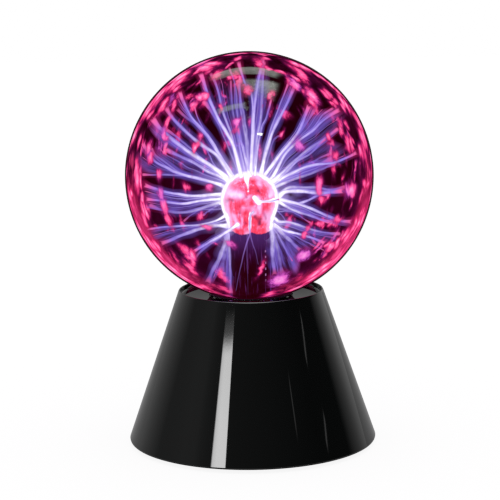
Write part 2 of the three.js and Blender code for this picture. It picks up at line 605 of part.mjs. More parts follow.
// Wires run from just short of the terminals to just above the board.
const jackY = JACK_PIN_Y - 0.5;
const switchY = SWITCH_PIN_Y - 0.5;
const endZ = ON_BOARD + 0.4;
const WIRES = [
  ['jack_wire_1', finish.red, [
    [JACK_X - JACK_PIN_X, jackY, PANEL_Z], [JACK_X - 2.6, 60, PANEL_Z - 1],
    [11, 45, 13], [9.5, 32, 17.5], [9, 29, endZ]]],
  ['jack_wire_2', finish.wireBlack, [
    [JACK_X + JACK_PIN_X, jackY, PANEL_Z], [JACK_X + 2.8, 60, PANEL_Z - 1],
    [16.5, 45, 13], [14.5, 32, 17.5], [14, 29, endZ]]],
  ['switch_wire_1', finish.white, [
    [SWITCH_X - SWITCH_PIN_PITCH, switchY, PANEL_Z], [SWITCH_X - 6.3, 62, PANEL_Z - 1],
    [-20.5, 46, 13], [-19, 33, 17.5], [-18.8, 29.2, endZ]]],
  ['switch_wire_2', finish.trimmer, [
    [SWITCH_X, switchY, PANEL_Z], [SWITCH_X, 62, PANEL_Z - 1],
    [-5, 46, 13], [1.5, 33, 17.5], [2.0, 29.2, endZ]]],
];
for (const [name, material, points] of WIRES) {
  add(driverGroup, name, wire(0.9, points, 9), material);
}

export default ball;
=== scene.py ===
# Looks for a plasma ball: a blown glass globe with a glass electrode stem, on a gloss black cone base.
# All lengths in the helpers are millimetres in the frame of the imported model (Z up, feet on z = 0);
# they are turned into metres when a mesh is made.
import math
import random

import bmesh
import bpy
import numpy as np
from mathutils import Matrix, Vector, noise


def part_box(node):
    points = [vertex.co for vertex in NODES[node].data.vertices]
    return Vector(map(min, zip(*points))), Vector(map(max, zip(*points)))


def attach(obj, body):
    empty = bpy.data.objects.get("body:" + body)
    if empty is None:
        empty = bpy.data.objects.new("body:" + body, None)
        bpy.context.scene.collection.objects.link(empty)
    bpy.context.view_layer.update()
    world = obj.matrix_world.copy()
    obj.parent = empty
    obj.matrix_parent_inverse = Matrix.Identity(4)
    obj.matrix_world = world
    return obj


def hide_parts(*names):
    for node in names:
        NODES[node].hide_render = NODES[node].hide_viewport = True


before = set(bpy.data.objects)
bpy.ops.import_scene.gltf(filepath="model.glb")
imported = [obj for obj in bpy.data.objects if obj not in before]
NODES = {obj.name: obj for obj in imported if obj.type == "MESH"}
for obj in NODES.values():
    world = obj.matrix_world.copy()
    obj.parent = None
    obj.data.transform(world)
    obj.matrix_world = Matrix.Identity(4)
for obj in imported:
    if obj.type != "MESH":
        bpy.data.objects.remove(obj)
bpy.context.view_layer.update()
MM = 0.001
rng = random.Random(20)
scene = bpy.context.scene

# ------------------------------------------------------------------ driving sizes (mm)
GLOBE = np.array([0.0, 0.0, 218.1])   # centre of the globe
GLOBE_R = 100.0
BULB = np.array([0.0, 0.0, 198.5])    # centre of the electrode bulb
BULB_R = 21.5
SLOPE = 0.34714                       # radius lost per mm of height on the cone


def outer_r(z):
    return 100.9 - SLOPE * (z - 4.2)


# ------------------------------------------------------------------ mesh helpers
def make(name, verts, faces, attrs=None, smooth=True, angle=35, scale=MM):
    """A mesh object from points in mm; attrs is {name: per-point values, n or n x 3}."""
    me = bpy.data.meshes.new(name)
    me.from_pydata((np.asarray(verts, float) * scale).tolist(), [], faces)
    me.validate()
    for key, values in (attrs or {}).items():
        values = np.asarray(values, np.float32)
        kind = "FLOAT_VECTOR" if values.ndim == 2 else "FLOAT"
        a = me.attributes.new(key, kind, "POINT")
        a.data.foreach_set("vector" if values.ndim == 2 else "value", values.ravel())
    ob = bpy.data.objects.new(name, me)
    scene.collection.objects.link(ob)
    if smooth:
        me.shade_smooth()
        if angle is not None:
            me.set_sharp_from_angle(angle=math.radians(angle))
    return ob


def arc(cx, cz, r, a0, a1, n):
    return [(cx + r * math.cos(math.radians(a0 + (a1 - a0) * i / n)),
             cz + r * math.sin(math.radians(a0 + (a1 - a0) * i / n))) for i in range(n + 1)]


def rounded(points, radius, n=5, closed=True):
    """The profile with each corner turned into an arc; radius is one number or one per point."""
    pts = [np.array(p, float) for p in points]
    out = []
    for i, p in enumerate(pts):
        r = radius[i] if isinstance(radius, (list, tuple)) else radius
        if r <= 0 or (not closed and i in (0, len(pts) - 1)):
            out.append(tuple(p))
            continue
        a, b = pts[i - 1] - p, pts[(i + 1) % len(pts)] - p
        la, lb = np.linalg.norm(a), np.linalg.norm(b)
        a, b = a / la, b / lb
        cosine = float(np.clip(a @ b, -1, 1))
        half = math.acos(cosine) / 2
        if half > math.radians(88):
            out.append(tuple(p))
            continue
        cut = min(r / math.tan(half), la * 0.45, lb * 0.45)
        rr = cut * math.tan(half)
        mid = (a + b) / np.linalg.norm(a + b)
        c = p + mid * (rr / math.sin(half))
        s, e = p + a * cut - c, p + b * cut - c
        th = math.acos(float(np.clip(s @ e / (rr * rr), -1, 1)))
        for k in range(n + 1):
            f = k / n
            v = (math.sin((1 - f) * th) * s + math.sin(f * th) * e) / math.sin(th)
            out.append(tuple(c + v))
    return out


def lathe(name, profile, seg=160, centre=(0.0, 0.0), axis="z", angle=35, bend=None, attrs=None, flip=False):
    """A closed turned body. profile is (r, z) pairs that close on themselves, or start and end on the axis.
    Its faces point out when the profile runs with the solid on its left, seen with r to the right and z up."""
    verts, rings = [], []
    for r, z in profile:
        if abs(r) < 1e-6:
            rings.append([len(verts)])
            verts.append((0.0, 0.0, z))
        else:
            rings.append(list(range(len(verts), len(verts) + seg)))
            for j in range(seg):
                t = 2 * math.pi * j / seg
                verts.append((r * math.cos(t), r * math.sin(t), z))
    faces = []
    n = len(rings)
    open_ends = len(rings[0]) == 1 and len(rings[-1]) == 1
    for i in range(n if not open_ends else n - 1):
        a, b = rings[i], rings[(i + 1) % n]
        if len(a) == 1 and len(b) == 1:
            continue
        for j in range(seg):
            k = (j + 1) % seg
            if len(a) == 1:
                faces.append((a[0], b[k], b[j]))
            elif len(b) == 1:
                faces.append((a[j], a[k], b[0]))
            else:
                faces.append((a[j], a[k], b[k], b[j]))
    v = np.array(verts)
    if bend is not None:
        v = bend(v)
    if axis == "y":      # the body's own z runs along +Y
        v = np.stack([v[:, 0], v[:, 2], -v[:, 1]], 1)
    elif axis == "x":    # the body's own z runs along +X
        v = np.stack([v[:, 2], v[:, 0], v[:, 1]], 1)
    v = v + np.array([centre[0], centre[1], centre[2] if len(centre) > 2 else 0.0])
    area = sum((profile[(i + 1) % n][0] - profile[i][0]) * (profile[(i + 1) % n][1] + profile[i][1]) / 2 for i in range(n))
    if (area > 0) != flip:   # the profile runs clockwise: turn the faces round
        faces = [tuple(reversed(f)) for f in faces]
    return make(name, v, faces, attrs, angle=angle)


def box_mesh(name, x0, x1, y0, y1, z0, z1):
    v = [(x, y, z) for z in (z0, z1) for y in (y0, y1) for x in (x0, x1)]
    f = [(0, 2, 3, 1), (4, 5, 7, 6), (0, 1, 5, 4), (2, 6, 7, 3), (0, 4, 6, 2), (1, 3, 7, 5)]
    return make(name, v, f, smooth=False)


def boolean(target, *steps):
    """steps are (operation, cutter); the cutters are used up."""
    for op, cutter in steps:
        m = target.modifiers.new("cut", "BOOLEAN")
        m.operation, m.object, m.solver = op, cutter, "EXACT"
    bpy.context.view_layer.update()
    graph = bpy.context.evaluated_depsgraph_get()
    mesh = bpy.data.meshes.new_from_object(target.evaluated_get(graph))
    target.modifiers.clear()
    target.data = mesh
    for _, cutter in steps:
        bpy.data.objects.remove(cutter)
    return target


def catmull(points, n):
    """n points spaced evenly along a smooth curve through the given points."""
    p = [np.array(q, float) for q in points]
    if len(p) == 2:
        p = [p[0], (p[0] + p[1]) / 2, p[1]]
    ext = [2 * p[0] - p[1]] + p + [2 * p[-1] - p[-2]]
    fine = []
    for i in range(1, len(ext) - 2):
        a, b, c, d = ext[i - 1:i + 3]
        for k in range(12):
            t = k / 12
            fine.append(0.5 * (2 * b + (c - a) * t + (2 * a - 5 * b + 4 * c - d) * t * t + (3 * b - a - 3 * c + d) * t ** 3))
    fine.append(p[-1])
    fine = np.array(fine)
    length = np.concatenate([[0], np.cumsum(np.linalg.norm(np.diff(fine, axis=0), axis=1))])
    s = np.linspace(0, length[-1], n)
    return np.stack([np.interp(s, length, fine[:, k]) for k in range(3)], 1)


class Tubes:
    """Gathers many closed tapered tubes into one mesh."""

    def __init__(self):
        self.v, self.f, self.a = [], [], {"along": [], "vigour": [], "run": [], "lilac": []}

    def add(self, path, radii, seg=10, heat=1.0, lilac=0.0, squeeze=None):
        path = np.asarray(path, float)
        n = len(path)
        tan = np.gradient(path, axis=0)
        tan /= np.linalg.norm(tan, axis=1)[:, None]
        side = np.cross(tan[0], (0.3, 0.9, 0.2))
        side /= np.linalg.norm(side)
        base = len(self.v)
        for i in range(n):
            side = side - (side @ tan[i]) * tan[i]
            side /= np.linalg.norm(side)
            up = np.cross(tan[i], side)
            for j in range(seg):
                t = 2 * math.pi * j / seg
                self.v.append(path[i] + radii[i] * (math.cos(t) * side + math.sin(t) * up))
                self.a["along"].append(i / (n - 1))
                self.a["run"].append(tan[i])
                self.a["vigour"].append(heat if np.isscalar(heat) else heat[i])
                self.a["lilac"].append(lilac)
        for i in range(n - 1):
            for j in range(seg):
                k = (j + 1) % seg
                a, b = base + i * seg, base + (i + 1) * seg
                self.f.append((a + j, a + k, b + k, b + j))
        for end, i in ((0, 0), (1, n - 1)):
            c = len(self.v)
            self.v.append(path[i] + tan[i] * (-0.4 if end == 0 else 0.4) * radii[i])
            self.a["along"].append(float(end))
            self.a["run"].append(tan[i])
            self.a["vigour"].append(heat if np.isscalar(heat) else heat[i])
            self.a["lilac"].append(lilac)
            b = base + i * seg
            for j in range(seg):
                k = (j + 1) % seg
                self.f.append((c, b + k, b + j) if end == 0 else (c, b + j, b + k))

    def build(self, name):
        return make(name, self.v, self.f, {k: np.array(v) for k, v in self.a.items()}, angle=None)


# ------------------------------------------------------------------ material helpers
def lin(r, g, b):
    """A display colour, 0 to 255, as scene-linear light."""
    return tuple(c / 255 / 12.92 if c / 255 <= 0.04045 else ((c / 255 + 0.055) / 1.055) ** 2.4 for c in (r, g, b))


class Wire:
    """A node output that can be added, multiplied and so on."""

    def __init__(self, net, socket):
        self.net, self.socket = net, socket

    def __add__(self, o): return self.net.math("ADD", self, o)
    def __radd__(self, o): return self.net.math("ADD", o, self)
    def __sub__(self, o): return self.net.math("SUBTRACT", self, o)
    def __rsub__(self, o): return self.net.math("SUBTRACT", o, self)
    def __mul__(self, o): return self.net.math("MULTIPLY", self, o)
    def __rmul__(self, o): return self.net.math("MULTIPLY", o, self)
    def __truediv__(self, o): return self.net.math("DIVIDE", self, o)
    def __pow__(self, o): return self.net.math("POWER", self, o)


class Net:
    """Wires up one node material, or the world."""

    def __init__(self, name, world=False):
        self.block = (bpy.data.worlds if world else bpy.data.materials).new(name)
        self.block.use_nodes = True
        self.tree = self.block.node_tree
        self.tree.nodes.clear()
        self.out = self.tree.nodes.new("ShaderNodeOutputWorld" if world else "ShaderNodeOutputMaterial")
        self.cache = {}

    def node(self, kind, **props):
        n = self.tree.nodes.new("ShaderNode" + kind)
        for k, v in props.items():
            setattr(n, k, v)
        return n

    def put(self, socket, value):
        if value is None:
            return
        if isinstance(value, Wire):
            self.tree.links.new(value.socket, socket)
        elif isinstance(value, (tuple, list)) and socket.type == "RGBA":
            socket.default_value = (*value[:3], 1.0)
        else:
            socket.default_value = value

    def math(self, op, *args, clamp=False):
        n = self.node("Math", operation=op, use_clamp=clamp)
        for s, a in zip(n.inputs, args):
            self.put(s, a)
        return Wire(self, n.outputs[0])

    def clamp(self, a):
        return self.math("ADD", a, 0.0, clamp=True)

    def lo(self, a, b): return self.math("MINIMUM", a, b)
    def hi(self, a, b): return self.math("MAXIMUM", a, b)

    def vec(self, op, a, b=None, c=None, scale=None):
        n = self.node("VectorMath", operation=op)
        for s, x in zip(n.inputs, (a, b, c)):
            self.put(s, x)
        if scale is not None:
            self.put(n.inputs["Scale"], scale)
        return Wire(self, n.outputs["Value" if op in ("DOT_PRODUCT", "LENGTH", "DISTANCE") else "Vector"])

    def split(self, v):
        n = self.node("SeparateXYZ")
        self.put(n.inputs[0], v)
        return [Wire(self, o) for o in n.outputs]

    def join(self, x, y, z):
        n = self.node("CombineXYZ")
        for s, a in zip(n.inputs, (x, y, z)):
            self.put(s, a)
        return Wire(self, n.outputs[0])

    def step(self, x, lo, hi, out0=0.0, out1=1.0):
        n = self.node("MapRange", interpolation_type="SMOOTHSTEP")
        for i, a in enumerate((x, lo, hi, out0, out1)):
            self.put(n.inputs[i], a)
        return Wire(self, n.outputs[0])

    def span(self, x, lo, hi, out0=0.0, out1=1.0):
        n = self.node("MapRange", interpolation_type="LINEAR", clamp=True)
        for i, a in enumerate((x, lo, hi, out0, out1)):
            self.put(n.inputs[i], a)
        return Wire(self, n.outputs[0])

    def band(self, x, lo, hi, soft):
        return self.step(x, lo - soft, lo + soft) * self.step(x, hi + soft, hi - soft)

    def ramp(self, x, stops, mode="LINEAR"):
        n = self.node("ValToRGB")
        n.color_ramp.interpolation = mode
        e = n.color_ramp.elements
        while len(e) < len(stops):
            e.new(0.5)
        for el, (p, c) in zip(e, stops):
            el.position, el.color = p, (*c[:3], 1.0)
        self.put(n.inputs[0], x)
        return Wire(self, n.outputs[0])

    def mix(self, f, a, b, mode="MIX"):
        n = self.node("Mix", data_type="RGBA", blend_type=mode)
        self.put(n.inputs[0], f)
        self.put(n.inputs[6], a)
        self.put(n.inputs[7], b)
        return Wire(self, n.outputs[2])

    def noise(self, v, scale, detail=3.0, rough=0.5, distort=0.0):
        n = self.node("TexNoise")
        self.put(n.inputs["Vector"], v)
        for k, x in (("Scale", scale), ("Detail", detail), ("Roughness", rough), ("Distortion", distort)):
            self.put(n.inputs[k], x)
        return Wire(self, n.outputs["Fac"])

    def voronoi(self, v, scale, feature="F1", rand=1.0):
        n = self.node("TexVoronoi", feature=feature)
        self.put(n.inputs["Vector"], v)
        self.put(n.inputs["Scale"], scale)
        self.put(n.inputs["Randomness"], rand)
        return Wire(self, n.outputs["Distance"]), (Wire(self, n.outputs["Color"]) if feature == "F1" else None)

    def attr(self, name, vector=False):
        n = self.node("Attribute", attribute_name=name)
        return Wire(self, n.outputs["Vector" if vector else "Fac"])

    def geo(self, name):
        if "geo" not in self.cache:
            self.cache["geo"] = self.node("NewGeometry")
        return Wire(self, self.cache["geo"].outputs[name])

    def here(self):
        """Position in the model's frame, in mm."""
        if "here" not in self.cache:
            n = self.node("TexCoord")
            self.cache["here"] = self.vec("SCALE", Wire(self, n.outputs["Object"]), scale=1000.0)
        return self.cache["here"]

    def facing(self):
        """The cosine between the surface and the line of sight."""
        if "nv" not in self.cache:
            n = self.node("LayerWeight")
            n.inputs["Blend"].default_value = 0.5
            self.cache["nv"] = 1.0 - Wire(self, n.outputs["Facing"])
        return self.cache["nv"]

    def path(self, name):
        return Wire(self, self.node("LightPath").outputs[name])

    def bump(self, height, distance=0.0001, strength=1.0, normal=None):
        n = self.node("Bump")
        self.put(n.inputs["Strength"], strength)
        self.put(n.inputs["Distance"], distance)
        self.put(n.inputs["Height"], height)
        self.put(n.inputs["Normal"], normal)
        return Wire(self, n.outputs[0])

    def pbr(self, **inputs):
        n = self.node("BsdfPrincipled")
        for k, v in inputs.items():
            self.put(n.inputs[k.replace("_", " ")], v)
        return Wire(self, n.outputs[0])

    def emit(self, colour, strength=1.0):
        n = self.node("Emission")
        self.put(n.inputs[0], colour)
        self.put(n.inputs[1], strength)
        return Wire(self, n.outputs[0])

    def clear(self, colour=(1, 1, 1)):
        n = self.node("BsdfTransparent")
        self.put(n.inputs[0], colour)
        return Wire(self, n.outputs[0])

    def shade(self, f, a, b):
        n = self.node("MixShader")
        self.put(n.inputs[0], f)
        self.put(n.inputs[1], a)
        self.put(n.inputs[2], b)
        return Wire(self, n.outputs[0])

    def done(self, surface, sampled=True):
        self.tree.links.new(surface.socket, self.out.inputs[0])
        if isinstance(self.block, bpy.types.Material):
            if not sampled:
                self.block.cycles.emission_sampling = "NONE"
        return self.block


def wear(ob, material):
    ob.data.materials.clear()
    ob.data.materials.append(material)
    return ob


def piece(ob, material, node=None, body="root"):
    """Gives a new piece its finish, the body it rides on and the CAD nodes it stands for."""
    wear(ob, material)
    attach(ob, body)
    if node:
        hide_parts(*([node] if isinstance(node, str) else node))
    return ob


def dress(names, material, bevel=0.0, segments=2):
    """A carried-over CAD node gets its finish, and edges that catch the light."""
    for name in ([names] if isinstance(names, str) else names):
        ob = NODES[name]
        if len(ob.material_slots) == 0:
            ob.data.materials.append(material)
        for s in ob.material_slots:
            s.link = "OBJECT"
            s.material = material
        if bevel > 0:
            m = ob.modifiers.new("edges", "BEVEL")
            m.width, m.segments, m.limit_method = bevel * MM, segments, "ANGLE"
            m.angle_limit = math.radians(32)
            m.harden_normals = False
            m.use_clamp_overlap = True


# ------------------------------------------------------------------ studio
scene.view_settings.view_transform = "Standard"
scene.view_settings.look = "None"
scene.view_settings.exposure = 0.0
scene.view_settings.gamma = 1.0
scene.render.film_transparent = False
scene.cycles.max_bounces = 10
scene.cycles.diffuse_bounces = 3
scene.cycles.glossy_bounces = 5
scene.cycles.transmission_bounces = 6
scene.cycles.transparent_max_bounces = 192
scene.cycles.min_transparent_bounces = 96
scene.cycles.use_denoising = False
scene.cycles.sample_clamp_indirect = 3.0
scene.cycles.sample_clamp_direct = 3.0
scene.cycles.pixel_filter_type = "BLACKMAN_HARRIS"
scene.cycles.filter_width = 1.35
scene.cycles.caustics_reflective = False
scene.cycles.caustics_refractive = False
scene.cycles.seed = 3

w = Net("studio", world=True)
tc = w.node("TexCoord")
d = Wire(w, tc.outputs["Generated"])
dx, dy, dz = w.split(d)
DEG = 180 / math.pi
azimuth = w.math("ARCTAN2", dx, 0.0 - dy) * DEG          # 0 towards the front, + to the right
elevation = w.math("ARCSINE", dz) * DEG
lift = elevation - (azimuth + 35.0) * 0.095
strip = w.step(azimuth, -40.3, -38.7) * w.step(azimuth, -25.6, -26.4) * w.step(elevation, -3.0, 2.0)
strip = strip * (w.step(lift, 24.5, 23.7) * 0.91 + w.step(lift, 25.35, 24.4) * 0.09) * w.step(azimuth, -42.0, -34.0, 0.72, 1.0)
strip_tone = w.span(elevation, 19.0, 24.6, 15.0, 13.0)
# brightness of the room round the horizon: pale flats left and right, a dark wall ahead
past = azimuth - (elevation - 9.0) * 1.1 * w.step(azimuth, 60.0, 100.0) * w.step(azimuth, 150.0, 120.0)
walls = [(-180, 0.22), (-166, 0.32), (-152, 0.46), (-125, 0.40), (-114, 0.335), (-104, 0.25), (-98, 0.185), (-90, 0.205), (-80, 0.235), (-70, 0.27),
         (-58, 0.27), (-52, 0.20), (-45, 0.155), (-36, 0.13), (-20, 0.095), (20, 0.062), (50, 0.034), (66, 0.019), (100, 0.017), (104, 0.07),
         (107, 0.13), (111, 0.195), (116, 0.26), (121, 0.325), (126, 0.40), (131, 0.49), (137, 0.58), (145, 0.64), (158, 0.58), (168, 0.36), (180, 0.22)]
horizon = w.ramp((past + 180.0) / 360.0, [((a + 180) / 360, (v, v, v)) for a, v in walls])
faint = (w.band(azimuth, 72.5, 79.5, 0.8) * w.band(elevation, 17.75, 18.1, 0.15) * 0.9
         + w.band(azimuth, 44.7, 45.7, 0.5) * w.band(elevation, 20.0, 21.7, 0.4) * 0.55
         + w.band(azimuth, 75.0, 79.8, 0.8) * w.band(elevation, 14.3, 14.6, 0.15) * 0.8
         )
ceiling = w.band(elevation, 46.0, 80.0, 5.0) * w.step(w.math("ABSOLUTE", azimuth), 125.0, 80.0) * 7.6
glossy = horizon + strip * strip_tone + faint + ceiling
soft = 0.75 + 0.55 * w.step(elevation, -10.0, 70.0)
light = w.math("ADD", soft * (1.0 - w.path("Is Glossy Ray")), glossy * w.path("Is Glossy Ray"))
light = light * (1.0 - w.path("Is Camera Ray")) + w.path("Is Camera Ray") * 1.0
bg = w.node("Background")
w.put(bg.inputs[0], (1, 1, 1))
w.put(bg.inputs[1], light)
w.done(Wire(w, bg.outputs[0]))
scene.world = w.block
scene.world.cycles.sampling_method = "MANUAL"
scene.world.cycles.sample_map_resolution = 1024

floor = make("floor", [(-6000, -6000, -0.25), (6000, -6000, -0.25), (6000, 6000, -0.25), (-6000, 6000, -0.25)], [(0, 1, 2, 3)], smooth=False)
m = Net("pale_floor")
diffuse = m.node("BsdfDiffuse")
m.put(diffuse.inputs[0], (0.93, 0.93, 0.93))
lit = m.emit((1, 1, 1), 1.0 - 0.68 * m.path("Is Glossy Ray"))
top = m.shade(0.10, lit, Wire(m, diffuse.outputs[0]))
m.done(m.shade(m.geo("Backfacing"), top, m.clear()))
wear(floor, m.block)

cam = bpy.data.cameras.new("camera")
cam.sensor_width = 36.0
cam.lens = 123.47
cam.clip_start, cam.clip_end = 0.05, 50.0
cam_ob = bpy.data.objects.new("camera", cam)
scene.collection.objects.link(cam_ob)
cam_ob.matrix_world = (Matrix.Translation((-0.00026, -1.3729, 0.3828))
                       @ Matrix.Rotation(math.radians(80.687), 4, "X")
                       @ Matrix.Rotation(math.radians(-0.771), 4, "Z"))
scene.camera = cam_ob


# ------------------------------------------------------------------ finishes
def gloss_black():
    m = Net("gloss_black_abs")
    p = m.here()
    haze = m.noise(p, 0.045, 4, 0.55)
    dust = m.step(m.noise(p, 2.6, 2, 0.5), 0.70, 0.78)
    rub = m.step(m.noise(m.vec("MULTIPLY", p, (0.25, 0.25, 2.2)), 0.9, 4, 0.6), 0.55, 0.8)
    rough = 0.018 + haze * 0.014 + rub * 0.010 + dust * 0.03
    skin = m.noise(p, 0.55, 2, 0.45)
    base = m.mix(dust * 0.12, lin(5, 6, 6), lin(26, 27, 28))
    return m.done(m.pbr(Base_Color=base, Roughness=rough, IOR=1.49, Specular_IOR_Level=0.5,
                        Normal=m.bump(skin, 0.0000025, 0.4)))


def satin_black(name="satin_black", tone=(20, 20, 21), grain=3.2, rough=0.46):
    m = Net(name)
    p = m.here()
    spark = m.noise(p, grain, 4, 0.6)
    cells, _ = m.voronoi(p, grain * 0.9)
    tint = m.mix(m.noise(p, 0.08, 3), lin(*tone), lin(*(t + 9 for t in tone)))
    return m.done(m.pbr(Base_Color=tint, Roughness=rough + (spark - 0.5) * 0.25, IOR=1.5,
                        Normal=m.bump(cells + spark * 0.5, 0.00005, 0.35)))


def rubber():
    m = Net("black_rubber")
    p = m.here()
    n1 = m.noise(p, 1.6, 6, 0.65)
    tint = m.mix(m.step(n1, 0.45, 0.8), lin(21, 21, 21), lin(48, 46, 44))
    return m.done(m.pbr(Base_Color=tint, Roughness=0.78 + n1 * 0.15, IOR=1.45, Specular_IOR_Level=0.35,
                        Normal=m.bump(m.noise(p, 5.0, 3, 0.6), 0.00006, 0.5)))


def metal(name, tone, rough=0.3, stretch=(1, 1, 8), scale=3.0, tarnish=(90, 88, 84), amount=0.25):
    m = Net(name)
    p = m.here()
    brushed = m.noise(m.vec("MULTIPLY", p, stretch), scale, 4, 0.6)
    spots = m.step(m.noise(p, 0.7, 5, 0.6), 0.48, 0.75)
    tint = m.mix(spots * amount, lin(*tone), lin(*tarnish))
    return m.done(m.pbr(Base_Color=tint, Metallic=1.0, Roughness=rough + (brushed - 0.5) * 0.22 + spots * 0.1,
                        Normal=m.bump(brushed, 0.00003, 0.4)))


def plastic(name, tone, rough=0.38, second=None, grain=1.5, sub=0.0):
    m = Net(name)
    p = m.here()
    n1 = m.noise(p, grain, 4, 0.55)
    second = second or tuple(max(0, t - 18) for t in tone)
    return m.done(m.pbr(Base_Color=m.mix(m.step(n1, 0.3, 0.75) * 0.6, lin(*tone), lin(*second)),
                        Roughness=rough + (n1 - 0.5) * 0.2, IOR=1.49,
                        Normal=m.bump(m.noise(p, grain * 3, 3), 0.00004, 0.4)))


GLOSS = gloss_black()
SATIN = satin_black()
SATIN_FINE = satin_black("fine_black", (24, 24, 25), 5.5, 0.36)
RUBBER = rubber()
STEEL = metal("zinc_steel", (196, 198, 200), 0.26, amount=0.3, tarnish=(120, 116, 104))
BRASS = metal("nickel_brass", (214, 186, 120), 0.2, amount=0.35, tarnish=(140, 104, 60))

# ------------------------------------------------------------------ base shell
lip = [(57.42, 125.25)] + arc(58.02, 125.28, 0.6, 180, 20, 10)      # the rolled edge round the globe
outside = [(98.0, 2.5), (99.3, 2.5), (100.55, 3.0), (100.9, 4.2)]
wall = [(outer_r(z), z) for z in np.linspace(4.2, 124.9, 26)][1:-1]
profile = (rounded([(98.0, 2.5), (99.2, 2.5), (100.62, 2.85), (100.9, 4.2)], [0.2, 0.4, 0.9, 0], 4)
           + wall + [(outer_r(124.7), 124.7)] + list(reversed(lip))
           + rounded([(57.42, 125.25), (56.7, 122.4), (55.9, 121.6), (34.0, 121.6), (34.0, 118.6), (27.7, 118.6), (27.7, 116.0),
                      (36.4, 116.0), (36.4, 119.0), (outer_r(119) - 2.75, 119.0), (97.9, 2.7)],
                     [0, 0.5, 0.5, 0.6, 0.3, 0.3, 0.3, 0.3, 0.4, 0.8, 0.1], 4)[1:])
shell = lathe("base_shell_moulded", profile, seg=240, angle=30)

PANEL_Y, PANEL_Z, SWITCH_X, JACK_X = 84.5, 22.0, -12.5, 16.5
PLATE_SCREWS, COLLAR_SCREWS = (-90, 30, 150), (90, 210, 330)


def polar(r, a):
    return r * math.cos(math.radians(a)), r * math.sin(math.radians(a))


def post(name, r, z0, z1, x=0.0, y=0.0, seg=32):
    return lathe(name, [(0, z0), (r, z0), (r, z1), (0, z1)], seg, (x, y))


def bar_y(name, r, y0, y1, x, z, seg=40, chamfer=0.0):
    c = chamfer
    prof = [(0, y0), (r - c, y0), (r, y0 + c), (r, y1 - c), (r - c, y1), (0, y1)] if c else [(0, y0), (r, y0), (r, y1), (0, y1)]
    return lathe(name, prof, seg, (x, 0.0, z), axis="y")


envelope = lathe("envelope", [(0, 3.2), (99.4, 3.2), (99.4, 4.4), (outer_r(100) - 1.3, 100.0), (0, 100.0)], 120)
block = box_mesh("panel_block", -30.5, 30.5, 82.0, 104.0, 8.5, 35.5)
boolean(block, ("INTERSECT", envelope))
steps = [("UNION", block)]
for a in COLLAR_SCREWS:
    steps.append(("UNION", post("boss", 4.0, 110.0, 120.4, *polar(42, a))))
for a in PLATE_SCREWS:
    lug = post("lug", 4.6, 5.7, 48.0, *polar(86, a))
    boolean(lug, ("INTERSECT", lathe("env", [(0, 3.2), (99.4, 3.2), (99.4, 4.4), (outer_r(100) - 1.3, 100.0), (0, 100.0)], 120)))
    steps.append(("UNION", lug))
pocket = box_mesh("pocket", -28, 28, PANEL_Y, 110, 11, 33)
bm = bmesh.new()
bm.from_mesh(pocket.data)
bmesh.ops.bevel(bm, geom=[e for e in bm.edges if abs((e.verts[0].co - e.verts[1].co).normalized().y) > 0.9],
                offset=0.0022, segments=6, profile=0.5, affect="EDGES")
bm.to_mesh(pocket.data)
bm.free()
steps.append(("DIFFERENCE", pocket))
steps.append(("DIFFERENCE", box_mesh("slot", SWITCH_X - 4.7, SWITCH_X + 4.7, PANEL_Y - 5, PANEL_Y + 1, PANEL_Z - 2.2, PANEL_Z + 2.2)))
steps.append(("DIFFERENCE", bar_y("hole", 5.8, PANEL_Y - 5, PANEL_Y + 1, JACK_X, PANEL_Z)))
for dx_ in (-12.5, 12.5):
    steps.append(("DIFFERENCE", bar_y("hole", 1.45, PANEL_Y - 5, PANEL_Y + 1, SWITCH_X + dx_, PANEL_Z, 20)))
for a in PLATE_SCREWS:
    steps.append(("DIFFERENCE", post("pilot", 1.6, 4.4, 22.0, *polar(86, a), 20)))
for a in COLLAR_SCREWS:
    steps.append(("DIFFERENCE", post("pilot", 1.6, 109.0, 119.4, *polar(42, a), 20)))
boolean(shell, *steps)
shell.data.shade_smooth()
shell.data.set_sharp_from_angle(angle=math.radians(28))
# the cone keeps the normals of a true cone, also where the recess cuts it
me = shell.data
co = np.zeros(len(me.vertices) * 3)
me.vertices.foreach_get("co", co)
co = co.reshape(-1, 3) * 1000
rad = np.hypot(co[:, 0], co[:, 1])
on_cone = (np.abs(rad - outer_r(co[:, 2])) < 0.05) & (co[:, 2] > 4.1) & (co[:, 2] < 124.9)
normals = np.zeros(len(me.loops) * 3)
me.corner_normals.foreach_get("vector", normals)
normals = normals.reshape(-1, 3)
k = 1 / math.hypot(1, SLOPE)
for poly in me.polygons:
    ids = list(poly.vertices)
    if all(on_cone[i] for i in ids) and abs(poly.normal.z - SLOPE * k) < 0.02:
        for li, vi in zip(poly.loop_indices, ids):
            normals[li] = (co[vi, 0] / rad[vi] * k, co[vi, 1] / rad[vi] * k, SLOPE * k)
me.normals_split_custom_set(normals.tolist())
piece(shell, GLOSS, "base_shell")

# ------------------------------------------------------------------ globe seat
def under(rho):
    return GLOBE[2] - math.sqrt(GLOBE_R ** 2 - rho ** 2)


